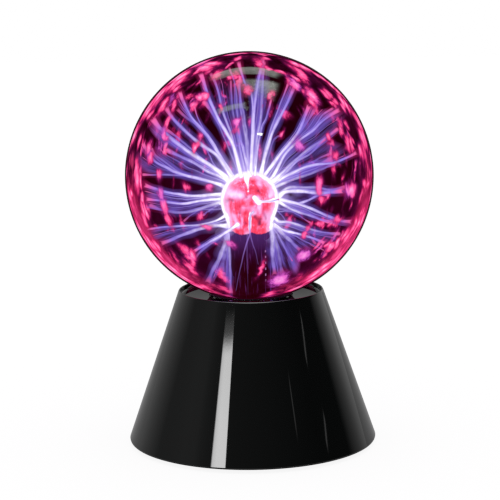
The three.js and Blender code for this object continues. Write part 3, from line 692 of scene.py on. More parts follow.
gasket = lathe("seat_gasket_ring", rounded([(28.2, 121.9), (33.4, 121.9), (33.4, under(33.4) - 1.2), (32.6, under(32.6) - 0.3),
                                            (28.6, under(28.6) - 0.4), (28.2, under(28.2) - 0.8)], 0.35, 3), 120)
piece(gasket, RUBBER, "seat_gasket")
m = Net("silicone_bead")
p = m.here()
piece(lathe("neck_bond_bead", rounded([(23.8, 100.4), (25.0, 100.0), (25.0, 112.4), (23.8, 113.0)], 0.3, 3), 96,
            bend=lambda v: v + np.stack([v[:, 0] * 0, v[:, 0] * 0, 0.18 * np.sin(np.arctan2(v[:, 1], v[:, 0]) * 9)], 1)),
      m.done(m.pbr(Base_Color=m.mix(m.noise(p, 0.5, 4), lin(196, 196, 190), lin(226, 226, 222)), Roughness=0.32,
                   Subsurface_Weight=0.3, Subsurface_Scale=0.002, Normal=m.bump(m.noise(p, 0.9, 3), 0.0003, 0.5))),
      "neck_bond")
collar = lathe("neck_collar_ring", rounded([(25.4, 98.6), (28.4, 98.6), (28.4, 107.2), (47.0, 107.2), (47.0, 109.7),
                                            (28.4, 109.7), (28.4, 113.4), (25.4, 113.4)], 0.45, 3), 120)
boolean(collar, *[("DIFFERENCE", post("hole", 1.9, 105, 112, *polar(42, a), 24)) for a in COLLAR_SCREWS])
collar.data.shade_smooth()
collar.data.set_sharp_from_angle(angle=math.radians(30))
piece(collar, SATIN, "neck_collar")

# ------------------------------------------------------------------ feet
for name, a in (("foot_rear_right", 45), ("foot_rear_left", 135), ("foot_front_left", 225), ("foot_front_right", 315)):
    x, y = polar(82, a)
    lo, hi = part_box(name)
    ring = []
    for r_, z_ in rounded([(0, lo.z * 1000), (10.2, lo.z * 1000), (10.2, hi.z * 1000), (0, hi.z * 1000)], [0, 0.9, 0.3, 0], 6, closed=False):
        ring.append((r_, z_))
    foot = lathe(name + "_pad", ring, 72, (x, y))
    # a ground-in grip: three shallow rings on the sole
    for k_, r_ in enumerate((3.0, 5.2, 7.4)):
        groove = lathe("groove", [(r_ - 0.45, -1.0), (r_ + 0.45, -1.0), (r_ + 0.3, 0.35), (r_ - 0.3, 0.35)], 72, (x, y))
        boolean(foot, ("DIFFERENCE", groove))
    foot.data.shade_smooth()
    foot.data.set_sharp_from_angle(angle=math.radians(30))
    piece(foot, RUBBER, name)

# ------------------------------------------------------------------ the discharge, in units of 100 mm from the centre of the globe
# STRANDS: name, heat, width, points from the bulb out to the glass. FANS: strands joined by a veil.
# PADS: where glow sits on the glass (direction, half width, half height, tilt, strength, lilac share).
STRANDS = [
    ('A', 1.0, 3.2, [(-0.137, 0.0, 0.004), (-0.234, -0.079, 0.182), (-0.316, -0.15, 0.329), (-0.385, -0.198, 0.414), (-0.454, -0.251, 0.511), (-0.508, -0.309, 0.627), (-0.537, -0.354, 0.721)]),
    ('A2', 0.35, 3.0, [(-0.137, 0.0, 0.004), (-0.233, -0.13, 0.187), (-0.313, -0.247, 0.339), (-0.406, -0.351, 0.447), (-0.493, -0.435, 0.521), (-0.559, -0.513, 0.598)]),
    ('A3', 0.55, 1.8, [(-0.15, 0.0, 0.018), (-0.245, 0.184, 0.153), (-0.32, 0.331, 0.255), (-0.376, 0.464, 0.353), (-0.426, 0.575, 0.434), (-0.455, 0.678, 0.516)]),
    ('B', 0.8, 4.2, [(-0.144, 0.0, -0.003), (-0.247, -0.086, 0.169), (-0.343, -0.144, 0.25), (-0.414, -0.188, 0.308), (-0.502, -0.248, 0.394), (-0.576, -0.304, 0.478), (-0.624, -0.349, 0.554), (-0.648, -0.379, 0.608)]),
    ('B2', 0.5, 2.2, [(-0.198, 0.0, -0.009), (-0.283, 0.362, 0.045), (-0.33, 0.642, 0.098), (-0.369, 0.881, 0.144)]),
    ('C', 1.0, 4.6, [(-0.184, 0.0, -0.009), (-0.289, -0.047, 0.079), (-0.418, -0.108, 0.174), (-0.508, -0.151, 0.239), (-0.584, -0.191, 0.304), (-0.647, -0.225, 0.361), (-0.709, -0.263, 0.43), (-0.76, -0.303, 0.513)]),
    ('D', 0.75, 4.2, [(-0.204, 0.0, -0.012), (-0.327, 0.156, 0.022), (-0.432, 0.305, 0.068), (-0.546, 0.462, 0.107), (-0.648, 0.597, 0.136), (-0.692, 0.657, 0.151)]),
    ('E', 0.75, 3.4, [(-0.239, 0.0, -0.066), (-0.324, -0.039, -0.033), (-0.39, -0.071, -0.011), (-0.519, -0.136, 0.032), (-0.603, -0.181, 0.068), (-0.641, -0.203, 0.095), (-0.741, -0.262, 0.156), (-0.801, -0.32, 0.254), (-0.836, -0.359, 0.324)]),
    ('E2', 0.5, 2.8, [(-0.239, 0.0, -0.066), (-0.395, 0.11, -0.036), (-0.533, 0.213, -0.009), (-0.637, 0.301, 0.043), (-0.721, 0.378, 0.098), (-0.778, 0.43, 0.134), (-0.814, 0.483, 0.191)]),
    ('E3', 0.5, 2.6, [(-0.239, 0.0, -0.072), (-0.394, 0.089, -0.034), (-0.531, 0.17, -0.011), (-0.663, 0.246, -0.01), (-0.775, 0.312, -0.018), (-0.889, 0.378, -0.022)]),
    ('G', 1.0, 3.8, [(-0.064, -0.087, 0.0), (-0.119, -0.129, 0.245), (-0.177, -0.152, 0.367), (-0.246, -0.179, 0.495), (-0.309, -0.209, 0.649), (-0.345, -0.233, 0.768), (-0.376, -0.25, 0.854)]),
    ('H', 0.6, 3.6, [(-0.071, 0.039, -0.001), (-0.123, 0.248, 0.193), (-0.184, 0.389, 0.309), (-0.274, 0.541, 0.42), (-0.323, 0.632, 0.49), (-0.365, 0.708, 0.547)]),
    ('I', 0.7, 3.0, [(-0.057, 0.058, -0.004), (-0.102, 0.124, 0.151), (-0.154, 0.213, 0.346), (-0.21, 0.287, 0.503), (-0.243, 0.355, 0.647), (-0.276, 0.402, 0.746), (-0.31, 0.433, 0.806)]),
    ('J', 0.4, 2.2, [(-0.031, 0.076, -0.006), (-0.088, 0.269, 0.272), (-0.127, 0.427, 0.49), (-0.139, 0.521, 0.62), (-0.144, 0.606, 0.738)]),
    ('K', 0.8, 3.2, [(0.003, -0.083, 0.012), (-0.04, -0.431, 0.243), (-0.069, -0.675, 0.39), (-0.089, -0.833, 0.48)]),
    ('L', 0.5, 3.2, [(-0.003, 0.009, 0.028), (-0.027, 0.241, 0.274), (-0.059, 0.427, 0.462), (-0.074, 0.578, 0.615), (-0.084, 0.661, 0.699)]),
    ('M', 0.75, 3.0, [(0.007, -0.083, 0.012), (0.023, -0.116, 0.275), (0.039, -0.147, 0.508), (0.028, -0.166, 0.648), (-0.004, -0.18, 0.741), (-0.014, -0.183, 0.722), (-0.045, -0.198, 0.821), (-0.076, -0.215, 0.939)]),
    ('N', 1.0, 3.4, [(0.013, -0.082, 0.012), (0.03, -0.089, 0.305), (0.043, -0.094, 0.504), (0.056, -0.097, 0.636), (0.082, -0.1, 0.767), (0.107, -0.103, 0.872), (0.117, -0.105, 0.953)]),
    ('O', 0.65, 3.4, [(0.034, 0.077, -0.007), (0.065, 0.144, 0.282), (0.09, 0.176, 0.413), (0.109, 0.222, 0.598), (0.118, 0.262, 0.757), (0.131, 0.3, 0.909)]),
    ('P', 0.65, 1.9, [(0.046, -0.07, 0.01), (0.075, -0.297, 0.292), (0.102, -0.416, 0.427), (0.134, -0.492, 0.504), (0.166, -0.609, 0.628), (0.175, -0.661, 0.682)]),
    ('Qa', 0.85, 3.8, [(0.093, 0.0, 0.001), (0.125, -0.069, 0.149), (0.175, -0.162, 0.33), (0.241, -0.248, 0.482), (0.305, -0.325, 0.611), (0.35, -0.389, 0.718), (0.369, -0.427, 0.784)]),
    ('R', 0.6, 2.2, [(0.087, 0.0, 0.001), (0.12, 0.109, 0.15), (0.174, 0.248, 0.325), (0.239, 0.384, 0.489), (0.297, 0.492, 0.616), (0.335, 0.567, 0.707)]),
    ('Sa', 1.0, 3.6, [(0.12, 0.0, 0.001), (0.239, -0.155, 0.177), (0.342, -0.292, 0.315), (0.393, -0.378, 0.407), (0.442, -0.49, 0.532), (0.471, -0.571, 0.621)]),
    ('S2', 0.45, 3.0, [(0.127, 0.0, 0.001), (0.245, 0.169, 0.135), (0.358, 0.325, 0.246), (0.43, 0.426, 0.318), (0.503, 0.538, 0.404), (0.556, 0.629, 0.478)]),
    ('T', 0.85, 3.2, [(0.194, 0.0, -0.0), (0.294, -0.079, 0.188), (0.386, -0.133, 0.285), (0.503, -0.194, 0.375), (0.567, -0.234, 0.443), (0.644, -0.276, 0.505), (0.723, -0.318, 0.556)]),
    ('T2', 0.55, 2.4, [(0.194, 0.0, -0.0), (0.298, 0.107, 0.161), (0.395, 0.182, 0.247), (0.506, 0.261, 0.326), (0.563, 0.315, 0.395), (0.613, 0.363, 0.458), (0.705, 0.423, 0.506)]),
    ('U', 0.65, 3.8, [(0.24, 0.0, -0.001), (0.379, 0.149, 0.108), (0.492, 0.268, 0.182), (0.592, 0.365, 0.233), (0.671, 0.447, 0.278), (0.744, 0.523, 0.325)]),
    ('V', 0.5, 2.6, [(0.247, 0.0, -0.015), (0.382, -0.239, 0.138), (0.481, -0.409, 0.22), (0.535, -0.525, 0.29), (0.599, -0.663, 0.367)]),
    ('W', 0.9, 3.0, [(0.294, 0.0, -0.005), (0.438, -0.098, 0.075), (0.535, -0.163, 0.101), (0.656, -0.247, 0.122), (0.757, -0.322, 0.168), (0.85, -0.399, 0.227)]),
    ('W2', 0.6, 3.6, [(0.234, 0.0, -0.025), (0.352, 0.175, -0.007), (0.466, 0.352, 0.012), (0.561, 0.499, 0.028), (0.681, 0.683, 0.048)]),
    ('X', 0.5, 3.2, [(0.253, 0.0, -0.072), (0.378, 0.162, -0.046), (0.506, 0.332, -0.028), (0.579, 0.431, -0.013), (0.727, 0.635, 0.025)]),
    ('X2', 0.7, 3.4, [(0.286, 0.0, -0.1), (0.438, -0.07, -0.093), (0.568, -0.135, -0.076), (0.697, -0.203, -0.04), (0.825, -0.276, 0.021), (0.906, -0.327, 0.071)]),
    ('Y', 1.0, 4.0, [(0.239, 0.0, -0.166), (0.291, -0.066, -0.125), (0.394, -0.187, -0.107), (0.532, -0.36, -0.098), (0.648, -0.513, -0.072), (0.732, -0.628, -0.048)]),
    ('Y2', 0.6, 3.6, [(0.239, 0.0, -0.153), (0.322, 0.081, -0.11), (0.446, 0.191, -0.126), (0.559, 0.29, -0.14), (0.673, 0.393, -0.172), (0.803, 0.511, -0.165)]),
    ('Z', 0.9, 3.2, [(0.238, 0.0, -0.187), (0.322, 0.126, -0.228), (0.392, 0.237, -0.26), (0.479, 0.375, -0.257), (0.568, 0.526, -0.237), (0.657, 0.664, -0.244)]),
    ('AA', 0.85, 3.2, [(0.245, 0.0, -0.197), (0.383, -0.091, -0.22), (0.499, -0.178, -0.253), (0.626, -0.279, -0.3), (0.721, -0.354, -0.324), (0.808, -0.421, -0.322)]),
    ('BB', 0.75, 3.2, [(0.245, 0.0, -0.22), (0.348, 0.135, -0.298), (0.482, 0.303, -0.368), (0.59, 0.44, -0.428), (0.664, 0.53, -0.46)]),
    ('CC', 0.65, 3.0, [(0.2, 0.0, -0.348), (0.237, 0.022, -0.379), (0.318, 0.064, -0.39), (0.442, 0.133, -0.443), (0.58, 0.211, -0.498), (0.749, 0.303, -0.53)]),
    ('DD', 1.0, 3.0, [(0.189, 0.0, -0.396), (0.261, -0.106, -0.425), (0.363, -0.255, -0.433), (0.475, -0.427, -0.441), (0.587, -0.614, -0.461)]),
    ('D2', 0.3, 1.4, [(0.189, 0.0, -0.396), (0.264, 0.053, -0.449), (0.373, 0.133, -0.514), (0.484, 0.216, -0.584), (0.618, 0.317, -0.671)]),
    ('EE', 0.6, 4.2, [(0.196, 0.0, -0.409), (0.259, -0.196, -0.441), (0.313, -0.394, -0.471), (0.366, -0.586, -0.493), (0.4, -0.718, -0.508)]),
    ('FF', 0.95, 3.6, [(0.169, -0.043, -0.396), (0.177, -0.178, -0.483), (0.176, -0.36, -0.587), (0.182, -0.5, -0.663), (0.189, -0.614, -0.721)]),
    ('GG', 0.6, 3.4, [(0.176, 0.0, -0.416), (0.203, 0.095, -0.547), (0.23, 0.186, -0.665), (0.251, 0.277, -0.785), (0.262, 0.339, -0.866)]),
    ('I1', 0.8, 2.4, [(0.029, -0.201, -0.257), (0.006, -0.211, -0.288), (-0.002, -0.228, -0.353), (-0.003, -0.248, -0.429), (-0.034, -0.273, -0.512), (-0.072, -0.316, -0.658), (-0.121, -0.382, -0.879)]),
    ('I2', 0.7, 2.4, [(0.029, -0.201, -0.257), (0.006, -0.245, -0.284), (0.0, -0.322, -0.339), (0.0, -0.417, -0.404), (0.022, -0.527, -0.472), (0.046, -0.632, -0.533), (0.061, -0.751, -0.604)]),
    ('HH', 1.0, 2.4, [(0.057, -0.207, -0.17), (0.103, -0.178, -0.182), (0.183, -0.126, -0.186), (0.237, -0.09, -0.181)]),
    ('JJ', 0.35, 2.0, [(-0.0, 0.166, -0.528), (-0.005, 0.106, -0.662), (-0.01, 0.028, -0.821), (-0.014, -0.045, -0.965)]),
    ('KK', 0.95, 3.4, [(-0.237, 0.0, -0.146), (-0.358, -0.089, -0.14), (-0.475, -0.181, -0.133), (-0.583, -0.272, -0.101), (-0.658, -0.337, -0.077), (-0.738, -0.41, -0.04), (-0.829, -0.496, 0.004)]),
    ('LL', 0.95, 3.0, [(-0.237, 0.0, -0.183), (-0.372, -0.104, -0.178), (-0.501, -0.213, -0.187), (-0.615, -0.313, -0.166), (-0.708, -0.399, -0.137), (-0.819, -0.501, -0.109)]),
    ('MM', 0.5, 3.6, [(-0.234, 0.0, -0.21), (-0.364, 0.082, -0.257), (-0.503, 0.175, -0.309), (-0.643, 0.267, -0.32), (-0.749, 0.338, -0.308), (-0.834, 0.399, -0.281)]),
    ('M2', 0.5, 2.4, [(-0.234, 0.0, -0.221), (-0.333, 0.455, -0.337), (-0.398, 0.772, -0.424)]),
    ('NN', 0.8, 2.4, [(-0.203, 0.0, -0.316), (-0.277, 0.015, -0.364), (-0.399, 0.038, -0.397), (-0.569, 0.07, -0.409), (-0.706, 0.097, -0.422), (-0.85, 0.125, -0.443)]),
    ('OO', 0.75, 4.2, [(-0.187, 0.0, -0.404), (-0.296, -0.08, -0.391), (-0.427, -0.186, -0.406), (-0.555, -0.299, -0.434), (-0.644, -0.382, -0.46), (-0.713, -0.446, -0.475)]),
    ('PP', 1.0, 3.0, [(-0.095, -0.148, -0.37), (-0.174, -0.259, -0.406), (-0.29, -0.434, -0.45), (-0.385, -0.584, -0.483), (-0.449, -0.69, -0.505)]),
    ('P2', 0.4, 3.0, [(-0.095, -0.148, -0.37), (-0.175, -0.243, -0.409), (-0.279, -0.385, -0.464), (-0.368, -0.51, -0.509), (-0.443, -0.642, -0.571)]),
    ('QQ', 0.7, 2.6, [(-0.174, 0.0, -0.438), (-0.171, -0.042, -0.568), (-0.167, -0.087, -0.696), (-0.165, -0.134, -0.823), (-0.161, -0.181, -0.935)]),
    ('RR', 0.8, 3.8, [(-0.172, 0.0, -0.479), (-0.219, -0.101, -0.578), (-0.259, -0.196, -0.662), (-0.311, -0.293, -0.739), (-0.347, -0.386, -0.815)]),
    ('R2', 0.5, 4.0, [(-0.172, 0.0, -0.493), (-0.202, 0.15, -0.619), (-0.227, 0.308, -0.749), (-0.244, 0.415, -0.838)]),
    ('SS', 0.5, 3.2, [(-0.145, 0.082, -0.492), (-0.134, 0.137, -0.597), (-0.137, 0.221, -0.749), (-0.146, 0.308, -0.904)]),
]
FANS = [
    ('A', 'A2', 0.45), ('A', 'B', 0.18), ('C', 'D', 0.75), ('B', 'C', 0.2), ('D', 'E2', 0.35),
    ('E', 'E3', 0.35), ('E2', 'E', 0.4), ('G', 'H', 0.65), ('I', 'J', 0.35), ('J', 'L', 0.4), ('G', 'I', 0.2),
    ('L', 'M', 0.25), ('N', 'O', 0.45), ('M', 'N', 0.2), ('O', 'P', 0.3), ('Qa', 'R', 0.6), ('P', 'R', 0.15),
    ('Sa', 'S2', 0.4), ('S2', 'T2', 0.45), ('T', 'T2', 0.5), ('T', 'U', 0.35), ('U', 'V', 0.55),
    ('V', 'W', 0.3), ('W', 'W2', 0.35), ('W2', 'X', 0.5), ('X', 'X2', 0.35), ('Y', 'Y2', 0.7),
    ('Y2', 'X2', 0.4), ('AA', 'BB', 0.7), ('Z', 'AA', 0.25), ('CC', 'DD', 0.35), ('DD', 'EE', 0.5),
    ('EE', 'GG', 0.5), ('FF', 'GG', 0.6), ('KK', 'LL', 0.6), ('LL', 'MM', 0.5), ('KK', 'E3', 0.15),
    ('MM', 'M2', 0.3), ('NN', 'OO', 0.5), ('OO', 'PP', 0.2), ('RR', 'R2', 0.65), ('R2', 'QQ', 0.5),
    ('QQ', 'SS', 0.45), ('PP', 'RR', 0.15), ('SS', 'I1', 0.15), ('I2', 'FF', 0.15), ('MM', 'NN', 0.12),
    
]
PADS = [
    (-0.092, -0.015, 0.996, 6, 2.8, 8, 1.0, 0),
    (-0.064, 0.048, 0.997, 4, 2, 0, 0.7, 0),
    (-0.379, -0.02, 0.925, 9, 4.2, 28, 1.1, 0.4),
    (-0.299, -0.252, 0.92, 5.5, 5, 30, 1.0, 0.1),
    (-0.328, 0.042, 0.944, 5, 2.6, 20, 0.8, 0),
    (-0.56, -0.123, 0.819, 5, 7, -35, 1.1, 0),
    (-0.583, -0.247, 0.774, 4.2, 4, 0, 0.9, 0),
    (-0.524, 0.371, 0.767, 3.4, 2.4, 40, 0.6, 0),
    (-0.717, -0.146, 0.681, 5, 8.5, -20, 1.0, 0),
    (-0.669, -0.409, 0.621, 3, 5, 15, 0.9, 0),
    (-0.752, 0.246, 0.612, 3, 6, -10, 0.7, 0),
    (-0.813, -0.171, 0.557, 3.8, 8, -20, 1.0, 0),
    (-0.801, 0.114, 0.588, 2.6, 5, -20, 0.8, 0),
    (-0.923, -0.11, 0.37, 4.5, 8, -12, 1.05, 0),
    (-0.955, -0.035, 0.294, 4.5, 5, 0, 1.0, 0),
    (-0.908, 0.11, 0.404, 2, 4, -15, 0.6, 0),
    (-0.361, -0.618, 0.698, 5.5, 3.6, 25, 1.0, 0.2),
    (-0.462, 0.712, 0.529, 2.2, 6, 0, 0.75, 0),
    (-0.632, 0.511, 0.583, 6.5, 3.5, 20, 0.55, 0.3),
    (-0.493, 0.622, 0.608, 4.5, 2, 30, 0.6, 0),
    (-0.689, 0.605, 0.398, 1.8, 7, -8, 0.85, 0),
    (-0.772, 0.535, 0.342, 3, 4, 40, 0.6, 0.3),
    (-0.66, -0.634, 0.403, 4.2, 2.6, -40, 0.8, 0.5),
    (-0.612, 0.749, 0.255, 3, 7, 5, 0.6, 0),
    (-0.652, 0.688, 0.319, 3, 4, 0, 0.4, 0),
    (-0.421, 0.873, 0.247, 2.4, 5, -5, 0.8, 0),
    (-0.413, -0.854, 0.318, 2.4, 5.5, -12, 0.95, 0),
    (-0.205, 0.966, 0.155, 3, 8.5, -5, 0.55, 0),
    (-0.785, -0.547, 0.291, 2.2, 6.5, 8, 0.85, 0.4),
    (-0.763, -0.606, 0.224, 3, 4, 0, 0.8, 0.3),
    (-0.745, 0.64, 0.188, 4, 7.5, 0, 0.5, 0.6),
    (-0.891, -0.439, 0.114, 1.8, 9, 2, 0.9, 0),
    (-0.695, -0.711, 0.104, 2, 5.5, 0, 0.8, 0.4),
    (-0.576, 0.817, 0.007, 2.6, 3, 0, 0.5, 0),
    (-0.243, -0.457, 0.856, 4.5, 4.5, 0, 0.8, 0.2),
    (-0.106, 0.611, 0.785, 4.5, 3.6, 0, 0.7, 0),
    (-0.008, -0.656, 0.755, 3.6, 4, 0, 0.8, 0.2),
    (-0.218, -0.749, 0.625, 1.8, 3.2, 0, 0.8, 0.3),
    (-0.095, -0.86, 0.501, 3.4, 4, 0, 0.9, 0.6),
    (0.006, 0.939, 0.345, 3.2, 6, 0, 0.55, 0),
    (-0.168, 0.8, 0.576, 5.5, 3, 0, 0.3, 0.5),
    (-0.072, 0.707, 0.703, 2.6, 5, 20, 0.4, 0),
    (-0.095, 0.981, 0.166, 2.6, 2.6, 0, 0.5, 0),
    (-0.974, 0.177, 0.141, 2, 6, 0, 0.35, 0),
    (-0.888, 0.456, 0.06, 4, 4, 0, 0.35, 0),
    (-0.524, 0.768, 0.367, 2.6, 2.4, 0, 0.45, 0),
    (-0.997, -0.065, 0.051, 2, 6, 0, 0.8, 0),
    (0.132, 0.048, 0.99, 7, 3, -5, 1.1, 0.2),
    (0.085, -0.34, 0.937, 3, 4.2, 0, 0.8, 0),
    (0.202, -0.428, 0.881, 7.5, 2, -28, 0.9, 0),
    (0.235, -0.449, 0.862, 3, 2, -30, 0.8, 0),
    (0.403, -0.122, 0.907, 6, 4.2, -20, 1.05, 0.1),
    (0.409, -0.341, 0.846, 2.4, 6, -10, 0.85, 0),
    (0.365, 0.376, 0.852, 2, 4.5, -5, 0.6, 0),
    (0.367, -0.518, 0.773, 3, 3.6, 0, 0.9, 0.4),
    (0.524, -0.111, 0.844, 8.5, 2.2, -38, 0.95, 0),
    (0.631, -0.121, 0.766, 8, 2.2, -42, 0.95, 0),
    (0.699, -0.107, 0.707, 6, 2.8, -45, 0.95, 0),
    (0.762, 0.006, 0.647, 5, 4, -50, 0.9, 0),
    (0.613, -0.379, 0.694, 3.2, 5, 15, 0.85, 0),
    (0.664, -0.405, 0.629, 3.6, 4.6, 25, 0.8, 0),
    (0.764, -0.221, 0.607, 4.5, 5, -40, 1.0, 0.1),
    (0.836, 0.15, 0.529, 2, 5, 30, 0.6, 0),
    (0.478, 0.586, 0.654, 3.6, 4, 25, 0.65, 0),
    (0.5, -0.535, 0.68, 3.2, 5.5, 0, 1.0, 0.3),
    (0.2, 0.767, 0.61, 3.2, 3, 0, 0.75, 0),
    (0.311, 0.856, 0.413, 4.6, 3.4, 0, 0.7, 0),
    (0.552, 0.686, 0.475, 2.6, 4.5, -20, 0.55, 0),
    (0.73, 0.538, 0.421, 4.5, 2.6, -30, 0.6, 0.3),
    (0.738, -0.497, 0.457, 4, 5, 0, 0.6, 0.3),
    (0.879, -0.136, 0.456, 2.6, 7, 20, 0.9, 0),
    (0.787, -0.538, 0.301, 3, 6, 0, 0.85, 0),
    (0.825, 0.545, 0.148, 2.6, 3, 0, 0.5, 0),
    (0.92, -0.232, 0.316, 2, 7.5, 5, 0.9, 0),
    (0.904, -0.37, 0.216, 2.6, 8, 0, 0.6, 0),
    (0.701, 0.687, 0.192, 2, 4.5, 15, 0.75, 0),
    (0.666, -0.71, 0.229, 3, 4.5, 10, 0.7, 0.3),
    (0.376, -0.859, 0.346, 4.5, 4.5, 0, 0.7, 0.8),
    (0.99, -0.056, 0.132, 1.8, 8, 3, 1.0, 0.3),
    (0.721, 0.692, -0.04, 2, 6, 5, 0.7, 0),
    (0.533, 0.846, -0.004, 3.4, 2.6, 0, 0.6, 0.5),
    (0.762, 0.647, 0.001, 4, 2, 0, 0.4, 0),
    (0.006, 0.941, 0.337, 3, 5.5, 0, 0.6, 0),
    (0.091, 0.991, 0.096, 2.4, 9, 0, 0.6, 0),
    (0.059, 0.867, 0.496, 1.4, 5, 0, 0.45, 0),
    (0.996, 0.091, 0.006, 2, 8, 0, 0.6, 0),
    (0.254, 0.848, 0.466, 2, 3, 0, 0.5, 0),
    (0.337, 0.599, 0.726, 1.8, 3.5, -10, 0.5, 0),
    (0.536, -0.844, 0.027, 2.4, 7, 0, 0.9, 0.4),
    (0.545, -0.834, -0.091, 3, 4, 0, 0.8, 0.1),
    (0.792, -0.609, -0.048, 3.8, 5.4, 8, 1.0, 0.4),
    (0.93, -0.367, -0.024, 3.6, 3.6, 0, 0.8, 0),
    (0.987, -0.087, -0.135, 2.4, 8, 0, 1.0, 0.3),
    (0.966, 0.063, -0.252, 2, 6, 10, 0.5, 0),
    (0.9, -0.353, -0.256, 1.8, 6, -10, 0.7, 0),
    (0.882, -0.316, -0.349, 3.6, 7, -20, 1.0, 0),
    (0.826, -0.409, -0.389, 2.2, 8, -42, 0.8, 0),
    (0.692, -0.673, -0.261, 3.6, 2.8, 20, 0.75, 0.2),
    (0.716, 0.501, -0.485, 3, 3.6, 0, 0.7, 0.2),
    (0.6, 0.631, -0.492, 3, 3.2, 0, 0.8, 0),
    (0.436, -0.842, -0.318, 2.6, 2.8, 0, 0.7, 0.3),
    (0.416, -0.834, -0.362, 2.8, 2.8, 0, 0.8, 0.3),
    (0.324, 0.832, -0.451, 1.8, 4.6, 0, 0.5, 0),
    (0.656, -0.582, -0.481, 5.5, 3.8, 25, 1.0, 0),
    (0.753, -0.499, -0.428, 3.4, 6, -35, 0.9, 0),
    (0.767, 0.138, -0.626, 3, 5.5, -40, 0.8, 0),
    (0.418, -0.733, -0.537, 5.2, 4.4, 0, 0.95, 0.8),
    (0.622, -0.599, -0.505, 3, 3, 0, 0.7, 0),
    (0.708, -0.329, -0.625, 3.2, 11, -48, 0.85, 0),
    (0.59, -0.385, -0.71, 2.8, 11, -55, 1.0, 0),
    (0.488, -0.383, -0.784, 2.6, 11, -62, 1.05, 0),
    (0.397, -0.252, -0.883, 2, 8, -68, 1.0, 0),
    (0.821, -0.137, -0.554, 2.4, 10, -38, 0.8, 0),
    (0.66, -0.039, -0.75, 3, 10, -50, 0.7, 0),
    (0.419, 0.244, -0.874, 4.2, 5.5, 0, 0.35, 0.2),
    (0.221, -0.612, -0.759, 6, 4.5, 0, 0.95, 0.7),
    (0.353, -0.184, -0.917, 5.2, 1.6, 0, 0.95, 0),
    (0.139, -0.091, -0.986, 4, 4, 0, 0.5, 0.5),
    (0.049, 0.628, -0.776, 2.6, 4, 20, 0.55, 0),
    (0.069, 0.536, -0.841, 2, 5, 10, 0.4, 0.4),
    (0.343, 0.544, -0.766, 2.8, 5, -10, 0.3, 0),
    (0.557, 0.33, -0.762, 3, 2.4, 0, 0.4, 0),
    (0.96, -0.105, -0.261, 1.6, 7, 5, 0.5, 0),
    (0.907, -0.122, -0.402, 2, 10, -22, 0.7, 0),
    (-0.889, -0.457, 0.039, 2, 9.5, 2, 0.9, 0),
    (-0.551, 0.812, -0.194, 2.8, 5.2, 0, 0.8, 0),
    (-0.765, 0.64, -0.068, 2, 4, 0, 0.6, 0),
    (-0.695, -0.718, -0.044, 2.6, 4.4, 10, 0.75, 0.5),
    (-0.667, -0.733, -0.135, 2.8, 7, 14, 0.85, 0.4),
    (-0.633, -0.734, -0.247, 2.6, 6.5, 10, 0.8, 0),
    (-0.676, 0.525, -0.517, 3.8, 3, 0, 0.5, 0),
    (-0.833, -0.522, -0.181, 2.6, 8.5, 14, 0.95, 0),
    (-0.835, -0.477, -0.275, 2, 6, 0, 0.8, 0),
    (-0.949, -0.298, -0.102, 4.2, 4.2, 0, 1.0, 0),
    (-0.969, -0.099, -0.229, 2, 6, 10, 0.7, 0),
    (-0.424, 0.786, -0.449, 2.8, 3.8, 0, 0.8, 0),
    (-0.333, -0.896, -0.293, 3.8, 2.6, 0, 0.8, 0.4),
    (-0.445, 0.616, -0.65, 2.6, 3, 0, 0.5, 0.2),
    (-0.518, -0.705, -0.485, 3, 5.4, 10, 0.85, 0.2),
    (-0.48, -0.684, -0.549, 3.6, 4, 0, 0.8, 0.2),
    (-0.482, -0.593, -0.645, 2.8, 5.5, 0, 0.85, 0),
    (-0.769, -0.422, -0.48, 4, 5, 30, 0.85, 0),
    (-0.9, -0.208, -0.382, 2.2, 9, 30, 1.0, 0),
    (-0.823, -0.292, -0.487, 2.4, 9, 36, 0.95, 0),
    (-0.73, -0.311, -0.608, 2.8, 10, 42, 1.0, 0),
    (-0.644, -0.311, -0.699, 3, 10, 47, 1.05, 0),
    (-0.551, -0.304, -0.777, 2.8, 9, 54, 1.0, 0),
    (-0.458, -0.27, -0.847, 2.4, 7, 60, 0.95, 0),
    (-0.691, 0.129, -0.711, 2.4, 9, 42, 0.7, 0),
    (-0.568, 0.152, -0.809, 2.6, 6, 50, 0.7, 0),
    (-0.395, -0.362, -0.844, 4, 2.4, -10, 0.9, 0),
    (-0.345, -0.184, -0.92, 7.5, 1.3, -8, 0.95, 0),
    (-0.236, 0.376, -0.896, 2.8, 7, 8, 0.75, 0),
    (-0.213, 0.136, -0.968, 3.2, 5.5, 0, 0.7, 0.2),
    (-0.153, -0.898, -0.413, 3.4, 3, 0, 0.7, 0.6),
    (-0.156, -0.077, -0.985, 3, 4, 0, 0.5, 0.5),
    (-0.359, 0.554, -0.751, 2.4, 3.4, 0, 0.35, 0.2),
    (-0.307, -0.951, 0.026, 3.4, 3, 0, 0.75, 0.5),
    (-0.997, -0.067, 0.034, 2, 5, 0, 0.7, 0),
    (-0.958, -0.012, -0.285, 2, 7, 12, 0.6, 0),
    (-0.797, 0.392, -0.459, 2.4, 2, 0, 0.5, 0),
    (-0.309, 0.682, -0.663, 3.4, 2, -20, 0.6, 0),
]
CELLS = [(-0.131, -0.16, -0.12), (-0.159, -0.143, -0.175), (-0.031, -0.131, -0.012), (-0.068, -0.169, -0.34), (-0.141, -0.123, -0.326), (0.015, -0.186, -0.066), (0.013, -0.115, -0.001), (0.126, -0.084, -0.033), (0.063, -0.204, -0.177), (0.009, -0.202, -0.263), (0.082, -0.189, -0.246), (0.164, -0.102, -0.092), (0.121, -0.141, -0.327), (0.183, -0.098, -0.24), (-0.008, -0.206, -0.109), (0.048, -0.168, -0.376), (-0.012, -0.173, -0.381), (0.107, -0.13, -0.409)]
